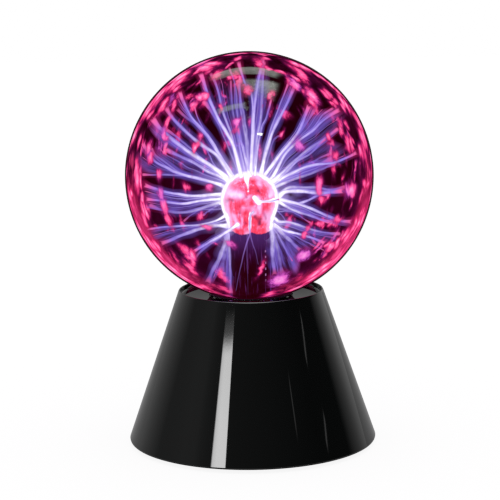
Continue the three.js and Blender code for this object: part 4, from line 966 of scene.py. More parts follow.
STROKES = [
    ('w', 3.06, 0.84, 1.0, [(-2.3, -1.8, 3.5), (-1.7, -11.6, -1.8), (-0.8, -19.4, -10.5)]),
    ('w', 1.93, 1.09, 1.0, [(24.8, -1.0, -19.7), (16.9, -13.2, -18.3), (9.2, -19.4, -18.5)]),
    ('w', 1.99, 1.99, 1.0, [(3.8, -20.7, -15.4), (6.6, -20.5, -19.1)]),
    ('p', 1.61, 1.61, 0.75, [(6.6, -20.3, -20.7), (7.3, -19.4, -26.0)]),
    ('w', 1.09, 1.29, 1.0, [(4.3, -20.5, -24.0), (0.7, -20.8, -25.7), (0.1, -18.9, -33.7), (-0.3, -15.7, -45.2)]),
    ('p', 3.22, 2.25, 0.85, [(-22.2, -1.0, -12.6), (-13.7, -14.8, -12.2), (-6.0, -19.6, -13.3)]),
    ('p', 1.93, 1.61, 0.8, [(4.4, -2.6, 0.9), (6.9, -10.9, -2.7), (8.1, -15.0, -6.7)]),
    ('p', 2.90, 1.93, 0.85, [(22.3, -1.0, -8.6), (17.0, -10.6, -11.9), (15.4, -13.7, -13.4)]),
    ('w', 2.90, 2.90, 0.9, [(13.4, -1.0, 0.6), (17.9, -1.0, -4.0)]),
    ('w', 3.54, 2.90, 0.95, [(-19.5, -1.0, -6.1), (-15.6, -1.0, -1.3)]),
    ('p', 1.48, 1.48, 0.6, [(-4.3, -20.7, -23.1), (2.7, -21.0, -22.5)]),
    ('p', 1.74, 1.29, 0.55, [(-11.4, -16.3, -30.1), (-9.9, -14.7, -38.8)]),
    ('p', 0.84, 0.84, 0.5, [(-6.1, -19.2, -29.1), (-6.3, -16.3, -39.8)]),
    ('p', 2.90, 2.25, 0.6, [(12.3, -15.5, -30.5), (17.1, -1.2, -41.8)]),
    ('p', 1.93, 1.61, 0.6, [(-16.7, -13.4, -20.1), (-15.2, -11.8, -32.6)]),
    ('p', 1.61, 1.09, 0.5, [(-2.9, -21.1, -16.7), (1.6, -20.9, -14.8), (4.1, -20.9, -16.8)]),
    ('p', 1.16, 0.97, 0.45, [(-12.4, -3.6, -2.7), (-5.9, -3.3, 0.4)]),
    ('d', 1.67, 1.29, 0.75, [(-18.0, -11.8, -19.0), (-12.8, -17.2, -17.8)]),
    ('d', 0.97, 1.42, 1.0, [(3.9, -19.8, -29.2), (7.0, -17.8, -33.0), (7.2, -16.7, -36.7)]),
    ('d', 0.58, 0.71, 0.9, [(4.1, -20.1, -13.4), (9.2, -18.8, -14.7), (6.7, -18.2, -10.4)]),
    ('d', 0.51, 0.51, 0.6, [(-6.2, -20.2, -23.2), (-7.5, -19.2, -27.1), (-2.4, -19.9, -29.7)]),
    ('d', 0.64, 0.64, 0.6, [(-3.5, -19.7, -11.7), (-1.6, -21.0, -15.4)]),
]

# ------------------------------------------------------------------ glass
def glass_with_painted_light(name, outline=0.165):
    """Clear soda glass, seen in a dark studio: it adds only painted reflections of the lamps it would mirror, worked
    out from the mirror direction and shown as emission, and a painted dark outline darkens its rim.
    """
    m = Net(name)
    nv = m.facing()
    front = 1.0 - m.geo("Backfacing")
    skin = m.attr("skin")
    v = m.geo("Incoming")
    n = m.geo("Normal")
    r = m.vec("SUBTRACT", m.vec("SCALE", n, scale=2.0 * m.vec("DOT_PRODUCT", n, v)), v)
    rx = m.vec("DOT_PRODUCT", r, (1.0, 0.0, 0.0))
    ru = m.vec("DOT_PRODUCT", r, (0.0, 0.119, 0.993))
    rt = m.vec("DOT_PRODUCT", r, (0.0, -0.993, 0.119))
    p = m.here()
    wob = (m.noise(p, 0.045, 3, 0.5) - 0.5)
    qx = rx + wob * 0.10
    qt = rt + (m.noise(m.vec("ADD", p, (40.0, 7.0, 3.0)), 0.05, 3, 0.5) - 0.5) * 0.06
    # painted reflections of the studio's lamps and room, laid out by the mirror direction and shown as emission
    over = m.step(ru, 0.2, 0.4)
    bow = qt - 0.30 * qx * qx                              # the painted reflection of the long softbox is slightly bowed in the glass
    painted_lamp_reflection = m.band(bow, -0.465, -0.272, 0.02) * m.band(qx, -0.31, 0.27, 0.05)
    painted_lamp_reflection = painted_lamp_reflection * m.span(qx, -0.27, 0.335, 0.75, 0.80) * (0.35 + 0.8 * m.noise(p, 0.11, 4, 0.6)) * m.step(bow, -0.20, -0.42, 0.55, 1.0)
    painted_room_reflection = m.band(qt, -0.16, 0.27, 0.05) * m.band(qx, -0.16, 0.31, 0.06)
    painted_room_reflection = painted_room_reflection * m.span(qx, -0.25, 0.30, 0.30, 0.85) * m.step(qt, 0.34, -0.12, 0.25, 1.0) * (0.45 + 0.8 * m.noise(p, 0.16, 4, 0.65))
    painted_patch_reflection = m.band(qt, 0.34, 0.44, 0.03) * m.band(qx, -0.42, -0.03, 0.05) * (0.16 + 0.26 * m.noise(p, 0.2, 3, 0.6))
    painted_column_reflection = m.band(qx, -0.05, 0.07, 0.04) * m.band(qt, 0.30, 0.62, 0.08) * m.step(m.noise(m.vec("MULTIPLY", p, (0.35, 0.35, 0.05)), 1.0, 3, 0.6), 0.40, 0.75) * 0.26
    chip = (m.noise(p, 0.9, 2, 0.5) - 0.5) * 0.05
    # painted glint: a small bright lamp seen in the glass
    painted_glint = m.band(rx + chip, 0.128, 0.196, 0.012) * m.band(rt + rx * 0.12 + chip * 0.3, 0.782, 0.807, 0.006) * m.step(ru, 0.5, 0.55) * 1.6
    # painted reflections: fine smears that hang off the painted lamp reflections
    streak = m.noise(m.vec("MULTIPLY", p, (0.55, 0.55, 0.06)), 1.0, 3, 0.6)
    painted_smear_reflection = m.band(qt, -0.22, 0.42, 0.08) * m.band(qx, 0.02, 0.33, 0.06) * m.step(streak, 0.52, 0.72) * 0.14
    # all the painted reflections together
    painted_reflection = m.clamp((painted_lamp_reflection * 0.60 + painted_room_reflection * 0.62 + painted_patch_reflection + painted_column_reflection + painted_smear_reflection) * over + painted_glint)
    # painted shade: an opaque dark maroon outline where the glass is seen edge on
    painted_dark_outline = m.step(nv, outline, outline * 0.82)
    haze = (1.0 - nv) ** 5.0 * 0.10
    fac = m.clamp(m.hi(painted_reflection, painted_dark_outline * 0.97)) * front * m.step(skin, 0.4, 0.6)
    # colour of the painted reflections, dark maroon in the painted outline
    tint = m.mix(m.clamp(painted_reflection * 3.0), lin(44, 3, 20), (0.50, 0.55, 0.50))
    tint = m.mix(m.step(painted_glint, 0.2, 0.9), tint, (1.3, 1.3, 1.3))
    return m.done(m.shade(fac, m.clear(), m.emit(tint, 1.0)), sampled=False)


def globe_profile():
    """Outside from the neck's lip round to the pole, then back down the inside."""
    a0 = -math.degrees(math.acos(23.5 / 100.0))
    out_ = [(22.4, 99.0), (23.0, 99.15), (23.5, 99.8)] + [(23.5, z) for z in np.linspace(104, 118.6, 6)]
    out_ += arc(0, 218.1, 100.0, a0 + 1.6, 90, 118)[:-1] + [(0.0, 318.1)]
    inner = [(0.0, 318.1 - 2.4)] + list(reversed(arc(0, 218.1, 97.6, a0 + 2.4, 90, 100)[:-1]))
    inner += [(21.2, z) for z in np.linspace(120.0, 99.8, 8)] + [(21.7, 99.15)]
    return out_, inner


go, gi = globe_profile()
prof = go + gi
# the profile touches the axis twice, so the two skins are turned by hand
def shell_of_revolution(name, outer, inner, seg=160):
    verts, faces, skin = [], [], []
    rings = []
    for part, s in ((outer, 1.0), (inner, 0.0)):
        for r, z in part:
            if abs(r) < 1e-6:
                rings.append([len(verts)])
                verts.append((0, 0, z))
                skin.append(s)
            else:
                rings.append(list(range(len(verts), len(verts) + seg)))
                for j in range(seg):
                    t = 2 * math.pi * j / seg
                    verts.append((r * math.cos(t), r * math.sin(t), z))
                    skin.append(s)
    n = len(rings)
    for i in range(n):
        a, b = rings[i], rings[(i + 1) % n]
        if len(a) == 1 and len(b) == 1:
            continue
        for j in range(seg):
            k_ = (j + 1) % seg
            if len(a) == 1:
                faces.append((a[0], b[k_], b[j]))
            elif len(b) == 1:
                faces.append((a[j], a[k_], b[0]))
            else:
                faces.append((a[j], a[k_], b[k_], b[j]))
    return make(name, verts, faces, {"skin": np.array(skin)}, angle=60)


globe = shell_of_revolution("globe_glass_blown", go, gi, 192)
piece(globe, glass_with_painted_light("blown_glass_painted_light"), "globe_glass")

# ------------------------------------------------------------------ stem with its bulb, and what it holds
stem_out = ([(22.6, 96.6), (23.4, 97.0), (23.4, 98.3), (22.8, 98.7), (20.8, 98.7), (18.9, 100.4), (17.3, 103.6), (16.6, 108.0)]
            + [(16.6, z) for z in np.linspace(114, 164, 9)] + [(16.75, 169.0), (16.9, 173.0), (17.6, 178.8), (19.0, 184.5), (20.6, 190.5)])
stem_out = stem_out[:8] + catmull([(r, 0, z) for r, z in stem_out[8:]], 36)[:, [0, 2]].tolist()
stem_out += arc(0, 198.5, 21.5, -8, 90, 44)[:-1] + [(0.0, 220.0)]
stem_in = [(0.0, 218.7)] + list(reversed(arc(0, 198.5, 20.2, -8, 90, 30)[:-1]))
stem_in += [(19.3, 190.6), (17.7, 184.7), (16.3, 179.0), (15.6, 173.0), (15.3, 164.0), (15.3, 140.0), (15.3, 108.0), (16.2, 103.0), (18.0, 99.6), (20.2, 97.2), (21.6, 96.6)]

ROOTS = []          # where the streamers leave the bulb, filled in below
STRAND_PATHS = {}


def bulb_radius(z):
    if z >= 198.5:
        return math.sqrt(max(21.5 ** 2 - (z - 198.5) ** 2, 0.0))
    return float(np.interp(z, [164, 173, 178.8, 184.5, 190.5, 198.5], [16.6, 16.9, 17.6, 19.0, 20.6, 21.5]))


def onto_bulb(p, lift=0.0):
    """The nearest point of the bulb's skin."""
    p = np.array(p, float)
    if p[2] > 198.5:
        u = p - BULB
        return BULB + u / np.linalg.norm(u) * (BULB_R + lift)
    r = bulb_radius(p[2]) + lift
    h = math.hypot(p[0], p[1])
    if h < 1e-6:
        return np.array([0, -r, p[2]])
    return np.array([p[0] / h * r, p[1] / h * r, p[2]])


def jitter(path, amount, seed, scale=0.06):
    out_ = []
    n = len(path)
    for i, q in enumerate(path):
        s = math.sin(math.pi * i / (n - 1)) ** 0.6
        w_ = noise.noise_vector(Vector((q[0] * scale + seed * 3.7, q[1] * scale, q[2] * scale)))
        w2 = noise.noise_vector(Vector((q[0] * scale * 3 + seed * 1.3, q[1] * scale * 3, q[2] * scale * 3)))
        out_.append(q + s * (amount * np.array(w_) + amount * 0.35 * np.array(w2)))
    return np.array(out_)


THREADS = ("HH", "JJ", "I1", "I2", "I3")       # fine threads over the bulb and down the stem
for i, (name, heat, width, pts) in enumerate(STRANDS + [("I3", 0.22, 1.5, [(-0.024, -0.176, -0.448), (-0.027, -0.20, -0.68), (-0.023, -0.19, -0.945)])]):
    pts = [GLOBE + 100 * np.array(q) for q in pts]
    root = onto_bulb(pts[0], -0.3 if pts[0][2] > 172 else 0.9)
    if np.linalg.norm(pts[0] - root) > 1.2:
        pts = [root] + pts
    else:
        pts[0] = root
    if pts[-1][2] < 150 and root[2] < 182 and name not in THREADS:      # the beams that run down past the stem are softer
        heat, width = heat * 0.64, width * 1.28
    path = jitter(catmull(pts, 46), 0.5, i)
    if name in THREADS and name != "I3":
        for k_ in range(46):
            q_ = path[k_]
            if q_[2] > 196.0:
                far_ = np.linalg.norm(q_ - BULB)
                path[k_] = BULB + (q_ - BULB) * max(far_, 23.5) / max(far_, 1e-6)
            elif q_[2] > 172.0:
                far_ = math.hypot(q_[0], q_[1])
                need_ = float(np.interp(q_[2], [172, 178.8, 184.5, 190.0, 196.0], [17.8, 18.5, 20.2, 22.4, 23.5]))
                path[k_] = np.array([q_[0] * max(far_, need_) / far_, q_[1] * max(far_, need_) / far_, q_[2]])
    STRAND_PATHS[name] = (path, heat, width)
    ROOTS.append((root, heat))

# streamers to the sides and the rear that the front view hardly shows
hidden = random.Random(7)
EXTRA = []
for i in range(16):
    az = hidden.uniform(25, 155)
    el = hidden.uniform(-48, 62)
    a, b = math.radians(az), math.radians(el)
    end = GLOBE + 96.8 * np.array([math.cos(a) * math.cos(b), math.sin(a) * math.cos(b), math.sin(b)])
    u = end - BULB
    h = u / np.linalg.norm(u)
    start = onto_bulb(BULB + h * 21.5 if h[2] > 0 else np.array([h[0] * 30, h[1] * 30, 198.5 + h[2] * 24]), -0.3)
    lift = np.array([0, 0, 1.0]) * hidden.uniform(2, 9)
    mid1 = start + (end - start) * 0.3 + lift * 0.3 + np.array([hidden.uniform(-3, 3), hidden.uniform(-3, 3), 0])
    mid2 = start + (end - start) * 0.68 + lift + np.array([hidden.uniform(-4, 4), hidden.uniform(-4, 4), 0])
    name = "X%d" % i
    EXTRA.append((name, end))
    STRAND_PATHS[name] = (jitter(catmull([start, mid1, mid2, end], 46), 1.2, 90 + i), hidden.uniform(0.28, 0.5), hidden.uniform(1.8, 2.8))
    ROOTS.append((start, 0.6))

tubes, hazes = Tubes(), Tubes()
s = np.linspace(0, 1, 46)
flare = 1.0 + 0.75 * np.clip((s - 0.84) / 0.16, 0, 1) ** 1.4


def inside(q, limit=96.5):
    dist = np.linalg.norm(q - GLOBE, axis=1)
    far = dist > limit
    q[far] = GLOBE + (q[far] - GLOBE) / dist[far][:, None] * limit
    return q


for i, (name, (path, heat, width)) in enumerate(STRAND_PATHS.items()):
    r = width * 0.40
    taper = 1.22 - 0.45 * s + 0.55 * np.exp(-s / 0.05)
    body = r * taper * flare * (1 + 0.10 * np.sin(s * 23 + i)) * 1.08
    lilac = 0.0
    if name in THREADS:
        body = r * ((1.0 - 0.55 * s) if name != "HH" else (1.1 - 0.3 * s))
        lilac = 0.15 if name == "HH" else 1.0
    tubes.add(path, body, 12, heat, lilac)
    if name not in THREADS:
        hazes.add(path, (2.7 * body + 1.2) * (1 - 0.25 * s), 14, heat, lilac)
    # a fine second thread beside the main one
    if heat > 0.62 and name not in THREADS:
        off = np.array(noise.noise_vector(Vector((i * 2.1, 0.3, 0.7)))) * 3.4
        q = inside(path + off[None, :] * (np.sin(np.pi * np.clip(s * 0.9, 0, 1)) ** 0.8)[:, None])
        tubes.add(q, 0.60 * np.ones(46) * (1.1 - 0.4 * s), 8, heat * 0.42)
for i, (a, b, strength) in enumerate(FANS):
    for u in ((0.44,) if strength > 0.34 else ()):
        q = STRAND_PATHS[a][0] * (1 - u) + STRAND_PATHS[b][0] * u
        q = inside(jitter(q, 1.2, 200 + i * 3 + int(u * 10)))
        tubes.add(q, (0.50 + 0.35 * ((i * 7) % 5) / 4) * np.ones(46) * (1.15 - 0.4 * s), 8, 0.10 + 0.45 * strength)
streamers = tubes.build("streamers")
hazy = hazes.build("streamer_haze")


def streamer_look():
    m = Net("streamer_glow")
    nv = m.facing()
    v = m.geo("Incoming")
    along, heat, only = m.attr("along"), m.attr("vigour"), m.attr("lilac")
    run = m.vec("NORMALIZE", m.attr("run", True))
    vt = m.vec("DOT_PRODUCT", v, run)
    round_ = m.lo(nv / m.hi(m.math("SQRT", 1.0 - vt * vt), 0.25), 1.0)
    beads = m.noise(m.here(), 0.20, 3, 0.55)
    height = m.split(m.here())[2]
    root = m.step(along, 0.24, 0.0) * m.step(height, 169.0, 178.0)
    tip = m.step(along, 0.80, 0.99)
    h = heat * m.step(along, 0.98, 0.22)
    white = m.clamp(round_ ** 2.8 * (root * 1.1 * m.step(heat, 0.22, 0.80, 0.25, 1.0) + h * 0.84 - only * 0.9) * (0.36 + 0.95 * beads))
    colour = m.mix(m.clamp(round_ ** 2.0 * (0.16 + h * 1.05)), lin(132, 102, 230), lin(200, 178, 255))
    colour = m.mix(only * 0.8, colour, lin(168, 122, 226))
    colour = m.mix(tip * (1.0 - only), colour, lin(255, 104, 176))
    colour = m.mix(white, colour, m.mix(m.step(along, 0.25, 0.8), lin(255, 250, 255), lin(226, 212, 255)))
    fac = round_ ** 1.5 * m.clamp(0.14 + 0.80 * heat + root * 0.3) * (0.66 + 0.60 * beads) * (1.0 + 0.30 * tip) * m.step(along, 1.0, 0.965) * (1.0 - only * m.step(along, 0.1, 1.0, 0.25, 0.85))
    fac = m.clamp(fac * 1.1) * (1.0 - m.geo("Backfacing"))
    return m.done(m.shade(fac, m.clear(), m.emit(colour, 1.0 + 0.22 * white)), sampled=False)


def haze_look():
    m = Net("streamer_haze")
    nv = m.facing()
    v = m.geo("Incoming")
    along, heat = m.attr("along"), m.attr("vigour")
    run = m.vec("NORMALIZE", m.attr("run", True))
    vt = m.vec("DOT_PRODUCT", v, run)
    round_ = m.lo(nv / m.hi(m.math("SQRT", 1.0 - vt * vt), 0.25), 1.0)
    cloud = m.noise(m.here(), 0.09, 4, 0.6)
    root = m.step(along, 0.42, 0.0)
    tip = m.step(along, 0.72, 0.96)
    colour = m.mix(root, lin(124, 98, 224), lin(200, 178, 255))
    colour = m.mix(tip, colour, lin(206, 36, 110))
    fac = round_ ** 2.0 * (0.02 + 0.29 * heat) * (0.20 + 1.35 * cloud) * (1.0 - 0.10 * root) * (1.0 - 0.4 * m.step(along, 0.94, 1.0))
    fac = m.lo(fac * 1.15, 0.8) * m.geo("Backfacing")          # only the far side, so the cores stay clear
    return m.done(m.shade(fac, m.clear(), m.emit(colour, 1.0)), sampled=False)


piece(streamers, streamer_look())
piece(hazy, haze_look())


# ------------------------------------------------------------------ veils between neighbouring streamers
class Sheets:
    def __init__(self):
        self.v, self.f, self.a = [], [], {"across": [], "along": [], "strength": [], "seed": []}

    def add(self, a, b, strength, seed, rows=34, cols=10, thick=0.12):
        idx = np.linspace(0, 45, rows)
        pa = np.stack([np.interp(idx, range(46), a[:, k]) for k in range(3)], 1)
        pb = np.stack([np.interp(idx, range(46), b[:, k]) for k in range(3)], 1)
        grid = np.zeros((rows, cols + 1, 3))
        for j in range(cols + 1):
            u = j / cols
            grid[:, j] = pa * (1 - u) + pb * u
        # the veil bellies out a little, and stays inside the globe
        gap = np.linalg.norm(pa - pb, axis=1)
        mid = (pa + pb) / 2 - GLOBE
        mid /= np.maximum(np.linalg.norm(mid, axis=1), 1e-6)[:, None]
        for j in range(1, cols):
            u = j / cols
            grid[:, j] += mid * (gap * 0.10 * math.sin(math.pi * u))[:, None]
        dist = np.linalg.norm(grid - GLOBE, axis=2)
        big = dist > 96.6
        grid[big] = GLOBE + (grid[big] - GLOBE) / dist[big][:, None] * 96.6
        du = np.gradient(grid, axis=0)
        dv = np.gradient(grid, axis=1)
        nn = np.cross(du, dv)
        nn /= np.maximum(np.linalg.norm(nn, axis=2), 1e-9)[:, :, None]
        base = len(self.v)
        count = rows * (cols + 1)
        for side in (1, -1):
            for i in range(rows):
                for j in range(cols + 1):
                    self.v.append(grid[i, j] + nn[i, j] * thick * side)
                    self.a["across"].append(j / cols)
                    self.a["along"].append(i / (rows - 1))
                    self.a["strength"].append(strength)
                    self.a["seed"].append(seed)
        at = lambda sd, i, j: base + sd * count + i * (cols + 1) + j
        for i in range(rows - 1):
            for j in range(cols):
                self.f.append((at(0, i, j), at(0, i + 1, j), at(0, i + 1, j + 1), at(0, i, j + 1)))
                self.f.append((at(1, i, j), at(1, i, j + 1), at(1, i + 1, j + 1), at(1, i + 1, j)))
        for i in range(rows - 1):
            self.f.append((at(0, i, 0), at(1, i, 0), at(1, i + 1, 0), at(0, i + 1, 0)))
            self.f.append((at(0, i, cols), at(0, i + 1, cols), at(1, i + 1, cols), at(1, i, cols)))
        for j in range(cols):
            self.f.append((at(0, 0, j), at(0, 0, j + 1), at(1, 0, j + 1), at(1, 0, j)))
            self.f.append((at(0, rows - 1, j), at(1, rows - 1, j), at(1, rows - 1, j + 1), at(0, rows - 1, j + 1)))


sheets = Sheets()
for i, (a, b, strength) in enumerate(FANS):
    if strength < 0.3:
        continue
    sheets.add(STRAND_PATHS[a][0], STRAND_PATHS[b][0], strength, i * 3.17)
veils = make("streamer_veils", sheets.v, sheets.f, {k: np.array(v) for k, v in sheets.a.items()}, angle=None)


def veil_look():
    m = Net("veil_glow")
    across, along, strength, seed = (m.attr(k) for k in ("across", "along", "strength", "seed"))
    streaks = m.noise(m.join(across * 3.4 + seed, along * 1.5, seed), 1.0, 4, 0.55)
    fine = m.noise(m.join(across * 11.0 + seed, along * 2.2, seed), 1.0, 3, 0.6)
    edge = m.step(across, 0.0, 0.16) * m.step(across, 1.0, 0.84)
    ends = m.step(along, 0.0, 0.30, 0.10, 1.0) * m.step(along, 1.0, 0.86)
    body = m.step(streaks, 0.34, 0.66) * 1.05 + m.step(fine, 0.45, 0.8) * 0.16
    nv = m.facing()
    fac = m.clamp(strength * (0.06 + body) * (0.25 + 0.75 * edge) * ends * 1.30) * m.step(nv, 0.0, 0.2, 0.35, 1.0)
    colour = m.mix(m.step(along, 0.0, 0.5), lin(180, 160, 252), lin(128, 102, 216))
    colour = m.mix(m.step(along, 0.74, 1.0) * 0.7, colour, lin(190, 44, 120))
    front = 1.0 - m.geo("Backfacing")
    return m.done(m.shade(m.lo(fac, 0.85) * front, m.clear(), m.emit(colour, 1.0)), sampled=False)


piece(veils, veil_look())

# ------------------------------------------------------------------ the electrode
def field_noise(pts, scale, seed):
    """Smooth numpy noise on the points: a sum of seeded plane waves."""
    g = np.random.RandomState(seed)
    out_ = np.zeros(len(pts), np.float32)
    for _ in range(14):
        k_ = g.normal(size=3).astype(np.float32) * scale
        out_ += np.sin(pts @ k_ + g.uniform(0, 6.28))
    return out_ / 3.7


stem = shell_of_revolution("stem_glass_drawn", stem_out, stem_in, 128)
co = np.zeros(len(stem.data.vertices) * 3)
stem.data.vertices.foreach_get("co", co)
co = co.reshape(-1, 3) * 1000


def stem_look():
    m = Net("stem_glass_painted_shade")
    p = m.here()
    x, y, z = m.split(p)
    nv = m.facing()
    front = (1.0 - m.geo("Backfacing")) * m.step(m.attr("skin"), 0.4, 0.6)
    # painted shade: below the bulb the stem is shown as an opaque dark maroon for the unlit foil inside, lighter and
    # more violet towards the top
    low = m.step(z, 178.5, 174.0)
    edge = m.step(nv, 0.42, 0.12)
    grain = m.noise(m.vec("MULTIPLY", p, (0.5, 0.5, 0.05)), 1.0, 4, 0.6)
    painted_shade_colour = m.mix(m.step(z, 148.0, 174.0), lin(42, 0, 7), lin(66, 26, 88))
    painted_shade_colour = m.mix(m.step(grain, 0.54, 0.72) * 0.55, painted_shade_colour, lin(104, 46, 118))
    # painted sheen: lighter violet streaks along the stem's edges
    painted_shade_colour = m.mix(edge * m.step(grain, 0.35, 0.7) * 0.8, painted_shade_colour, lin(118, 66, 176))
    # painted glints: a dotted bright line where the foil's seam shows through
    painted_seam_glints = m.step(m.math("SINE", z * 1.32 + (grain - 0.5) * 1.6), 0.05, 0.75) * m.band(x + (grain - 0.5) * 0.9, 11.8, 12.5, 0.5) * m.band(z, 135.0, 160.0, 3.0) * m.step(y, 0.0, -2.0)
    painted_shade_colour = m.mix(painted_seam_glints * 0.72, painted_shade_colour, lin(208, 142, 214))
    fac = m.lo(low * (0.93 + 0.05 * edge) + 0.04, 0.985)
    return m.done(m.shade(fac * front, m.clear(), m.emit(painted_shade_colour, 1.0)), sampled=False)


piece(stem, stem_look(), "stem_glass")

glow_out = [(16.9, 170.2), (17.2, 171.2)] + catmull([(17.25, 0, 171.6), (17.4, 0, 173.6), (18.1, 0, 178.8), (19.5, 0, 184.5), (21.1, 0, 190.5)], 22)[:, [0, 2]].tolist()
glow_out += arc(0, 198.5, 22.0, -8, 90, 64)[:-1] + [(0.0, 220.5)]
glow_in = [(0.0, 220.2)] + list(reversed(arc(0, 198.5, 21.7, -8, 90, 30)[:-1])) + [(20.8, 190.6), (19.2, 184.6), (17.8, 178.9), (17.1, 173.4), (16.75, 170.6)]
glow = shell_of_revolution("electrode_discharge", glow_out, glow_in, 160)
co = np.zeros(len(glow.data.vertices) * 3)
glow.data.vertices.foreach_get("co", co)
co = co.reshape(-1, 3) * 1000
marks = {k_: np.zeros(len(co)) for k_ in "wpd"}
warped = co.copy()
for axis_ in range(3):
    warped[:, axis_] += 0.75 * field_noise(co, 0.30, 31 + axis_) + 0.32 * field_noise(co, 0.9, 41 + axis_)
for kind, w0, w1, strength, pts in STROKES:
    line = catmull([GLOBE + np.array(q) for q in pts], 24) if len(pts) > 2 else np.linspace(GLOBE + np.array(pts[0]), GLOBE + np.array(pts[1]), 24)
    for flip_ in (1, -1):          # the rear of the bulb carries the same kind of marks, turned round
        for k_, q in enumerate(line):
            wd = w0 + (w1 - w0) * k_ / 23
            c = q * np.array([1, 1, 1]) if flip_ > 0 else np.array([-q[0], -q[1], q[2]])
            d2 = (((warped if kind != "w" or wd > 2.4 else 0.25 * warped + 0.75 * co) - c) ** 2).sum(1)
            marks[kind] = np.maximum(marks[kind], strength * np.exp(-0.80 * (d2 / (wd * (1.0 if kind == "w" else 1.5)) ** 2) ** (1.15 if kind == "w" else 0.85)))
for root, heat in ROOTS:
    d2 = (((co - np.array(root)) * np.array([1, 1, 0.8])) ** 2).sum(1)
    marks["p"] = np.maximum(marks["p"], (0.5 + 0.4 * heat) * np.exp(-d2 / 3.0 ** 2))
for name, key in (("pale", "p"), ("hot", "w"), ("dim", "d")):
    at_ = glow.data.attributes.new(name, "FLOAT", "POINT")
    at_.data.foreach_set("value", marks[key].astype(np.float32))
swell = np.interp(co[:, 2], [174.0, 179.0, 184.5, 190.5, 195.0, 222.0], [0.0, -0.1, 0.25, 0.95, 1.25, 1.25])
away = co - BULB
away[:, 2] = np.maximum(away[:, 2], 0.0)
away /= np.maximum(np.linalg.norm(away, axis=1), 1e-6)[:, None]
glow.data.vertices.foreach_set("co", ((co + away * swell[:, None]) * MM).astype(np.float32).ravel())
glow.data.update()


def discharge_look():
    m = Net("electrode_discharge")
    p = m.here()
    nv = m.facing()
    front = (1.0 - m.geo("Backfacing")) * m.step(m.attr("skin"), 0.4, 0.6)
    x, y, z = m.split(p)
    warp = m.noise(p, 0.13, 4, 0.55)
    ribs = m.noise(m.vec("MULTIPLY", p, (0.42, 0.42, 0.15)), 1.0, 3, 0.55)
    fine = m.noise(p, 0.8, 3, 0.6)
    red = m.ramp(warp * 0.6 + ribs * 0.4, [(0.30, lin(206, 30, 58)), (0.40, lin(244, 56, 78)), (0.48, lin(255, 72, 98)), (0.545, lin(255, 104, 146)), (0.61, lin(255, 152, 202)), (0.70, lin(250, 204, 244))])
    hot_ = m.attr("hot") + (fine - 0.5) * 0.12
    pale_ = m.clamp(m.hi(m.attr("pale") * (0.60 + 0.75 * ribs), m.attr("hot") * 0.75) + (fine - 0.5) * 0.10)
    tint = m.ramp(pale_, [(0.10, lin(255, 84, 118)), (0.34, lin(255, 132, 184)), (0.58, lin(250, 190, 240)), (0.80, lin(255, 232, 255))])
    colour = m.mix(m.step(pale_, 0.06, 0.34), red, tint)
    colour = m.mix(m.step(m.attr("dim") + (fine - 0.5) * 0.2, 0.15, 0.9) * 0.85, colour, lin(104, 8, 40))
    rag = nv + (m.noise(p, 0.12, 3, 0.6) - 0.5) * 0.36
    edge = m.step(rag, 0.49, 0.37)
    colour = m.mix(m.step(rag, 0.78, 0.46) * 0.85, colour, lin(255, 190, 238))
    white = m.clamp(edge + m.step(hot_, 0.26, 0.70))
    colour = m.mix(white, colour, (1.0, 0.98, 1.0))
    lobes = m.math("ABSOLUTE", m.math("SINE", (x - 1.5) * (math.pi / 15.5)))
    hem = 174.6 - 2.2 * lobes ** 0.7 + (m.noise(p, 0.35, 2, 0.5) - 0.5) * 1.6
    foot = m.clamp((z - hem) * 0.9)
    return m.done(m.shade(0.985 * foot * front, m.clear(), m.emit(colour, 1.12 + 0.35 * white)), sampled=False)


piece(glow, discharge_look())

# a thin bright sheath that stands off the bulb
halo_out = [(17.9, 171.0), (18.4, 172.2)] + catmull([(18.6, 0, 173.0), (19.2, 0, 178.8), (20.8, 0, 184.5), (23.0, 0, 190.5)], 16)[:, [0, 2]].tolist()
halo_out += arc(0, 198.5, 24.3, -8, 90, 44)[:-1] + [(0.0, 222.8)]
halo_in = [(0.0, 222.5)] + list(reversed(arc(0, 198.5, 24.0, -8, 90, 30)[:-1])) + [(22.7, 190.6), (20.4, 184.6), (19.0, 178.9), (18.3, 173.2), (17.7, 171.3)]
halo = shell_of_revolution("electrode_sheath", halo_out, halo_in, 128)
m = Net("sheath_glow")
nv = m.facing()
z = m.split(m.here())[2]
rag = m.noise(m.here(), 0.16, 4, 0.6)
fac = (m.step(nv, 0.0, 0.34) * m.step(nv, 0.60, 0.36)) * (0.15 + 0.75 * rag) * m.step(z, 171.0, 180.0)
fac = m.clamp(fac) * (1.0 - m.geo("Backfacing")) * m.step(m.attr("skin"), 0.4, 0.6)
m.done(m.shade(fac, m.clear(), m.emit(m.mix(m.step(nv, 0.05, 0.30), lin(190, 160, 255), lin(255, 246, 255)), 1.1)), sampled=False)
piece(halo, m.block)

# ------------------------------------------------------------------ glow on the inside of the glass
PXW = 1 / 1.2435          # the pads below are listed at this many mm per unit
bm = bmesh.new()
WALL = 98.7
bmesh.ops.create_icosphere(bm, subdivisions=8, radius=WALL)
wall_mesh = bpy.data.meshes.new("wall_glow")
bm.to_mesh(wall_mesh)
bm.free()
wall_glow = bpy.data.objects.new("wall_glow", wall_mesh)
scene.collection.objects.link(wall_glow)
count = len(wall_mesh.vertices)
pv = np.zeros(count * 3, np.float32)
wall_mesh.vertices.foreach_get("co", pv)
pv = pv.reshape(-1, 3)
RIGHT, UP, NEAR = np.array([1, 0, 0.0]), np.array([0, 0.119, 0.993]), np.array([0, -0.993, 0.119])


wx, wy = field_noise(pv, 0.16, 1), field_noise(pv, 0.16, 2)
wx2, wy2 = field_noise(pv, 0.5, 3), field_noise(pv, 0.5, 4)
warp_a = (1.0 * wx + 0.62 * wx2).astype(np.float32)
warp_b = (1.6 * wy + 0.95 * wy2).astype(np.float32)
pv_unit = (pv / WALL).astype(np.float32)
more = random.Random(11)
pads = []           # centre, half width, half height, lean, strength, lilac, all measured along the glass


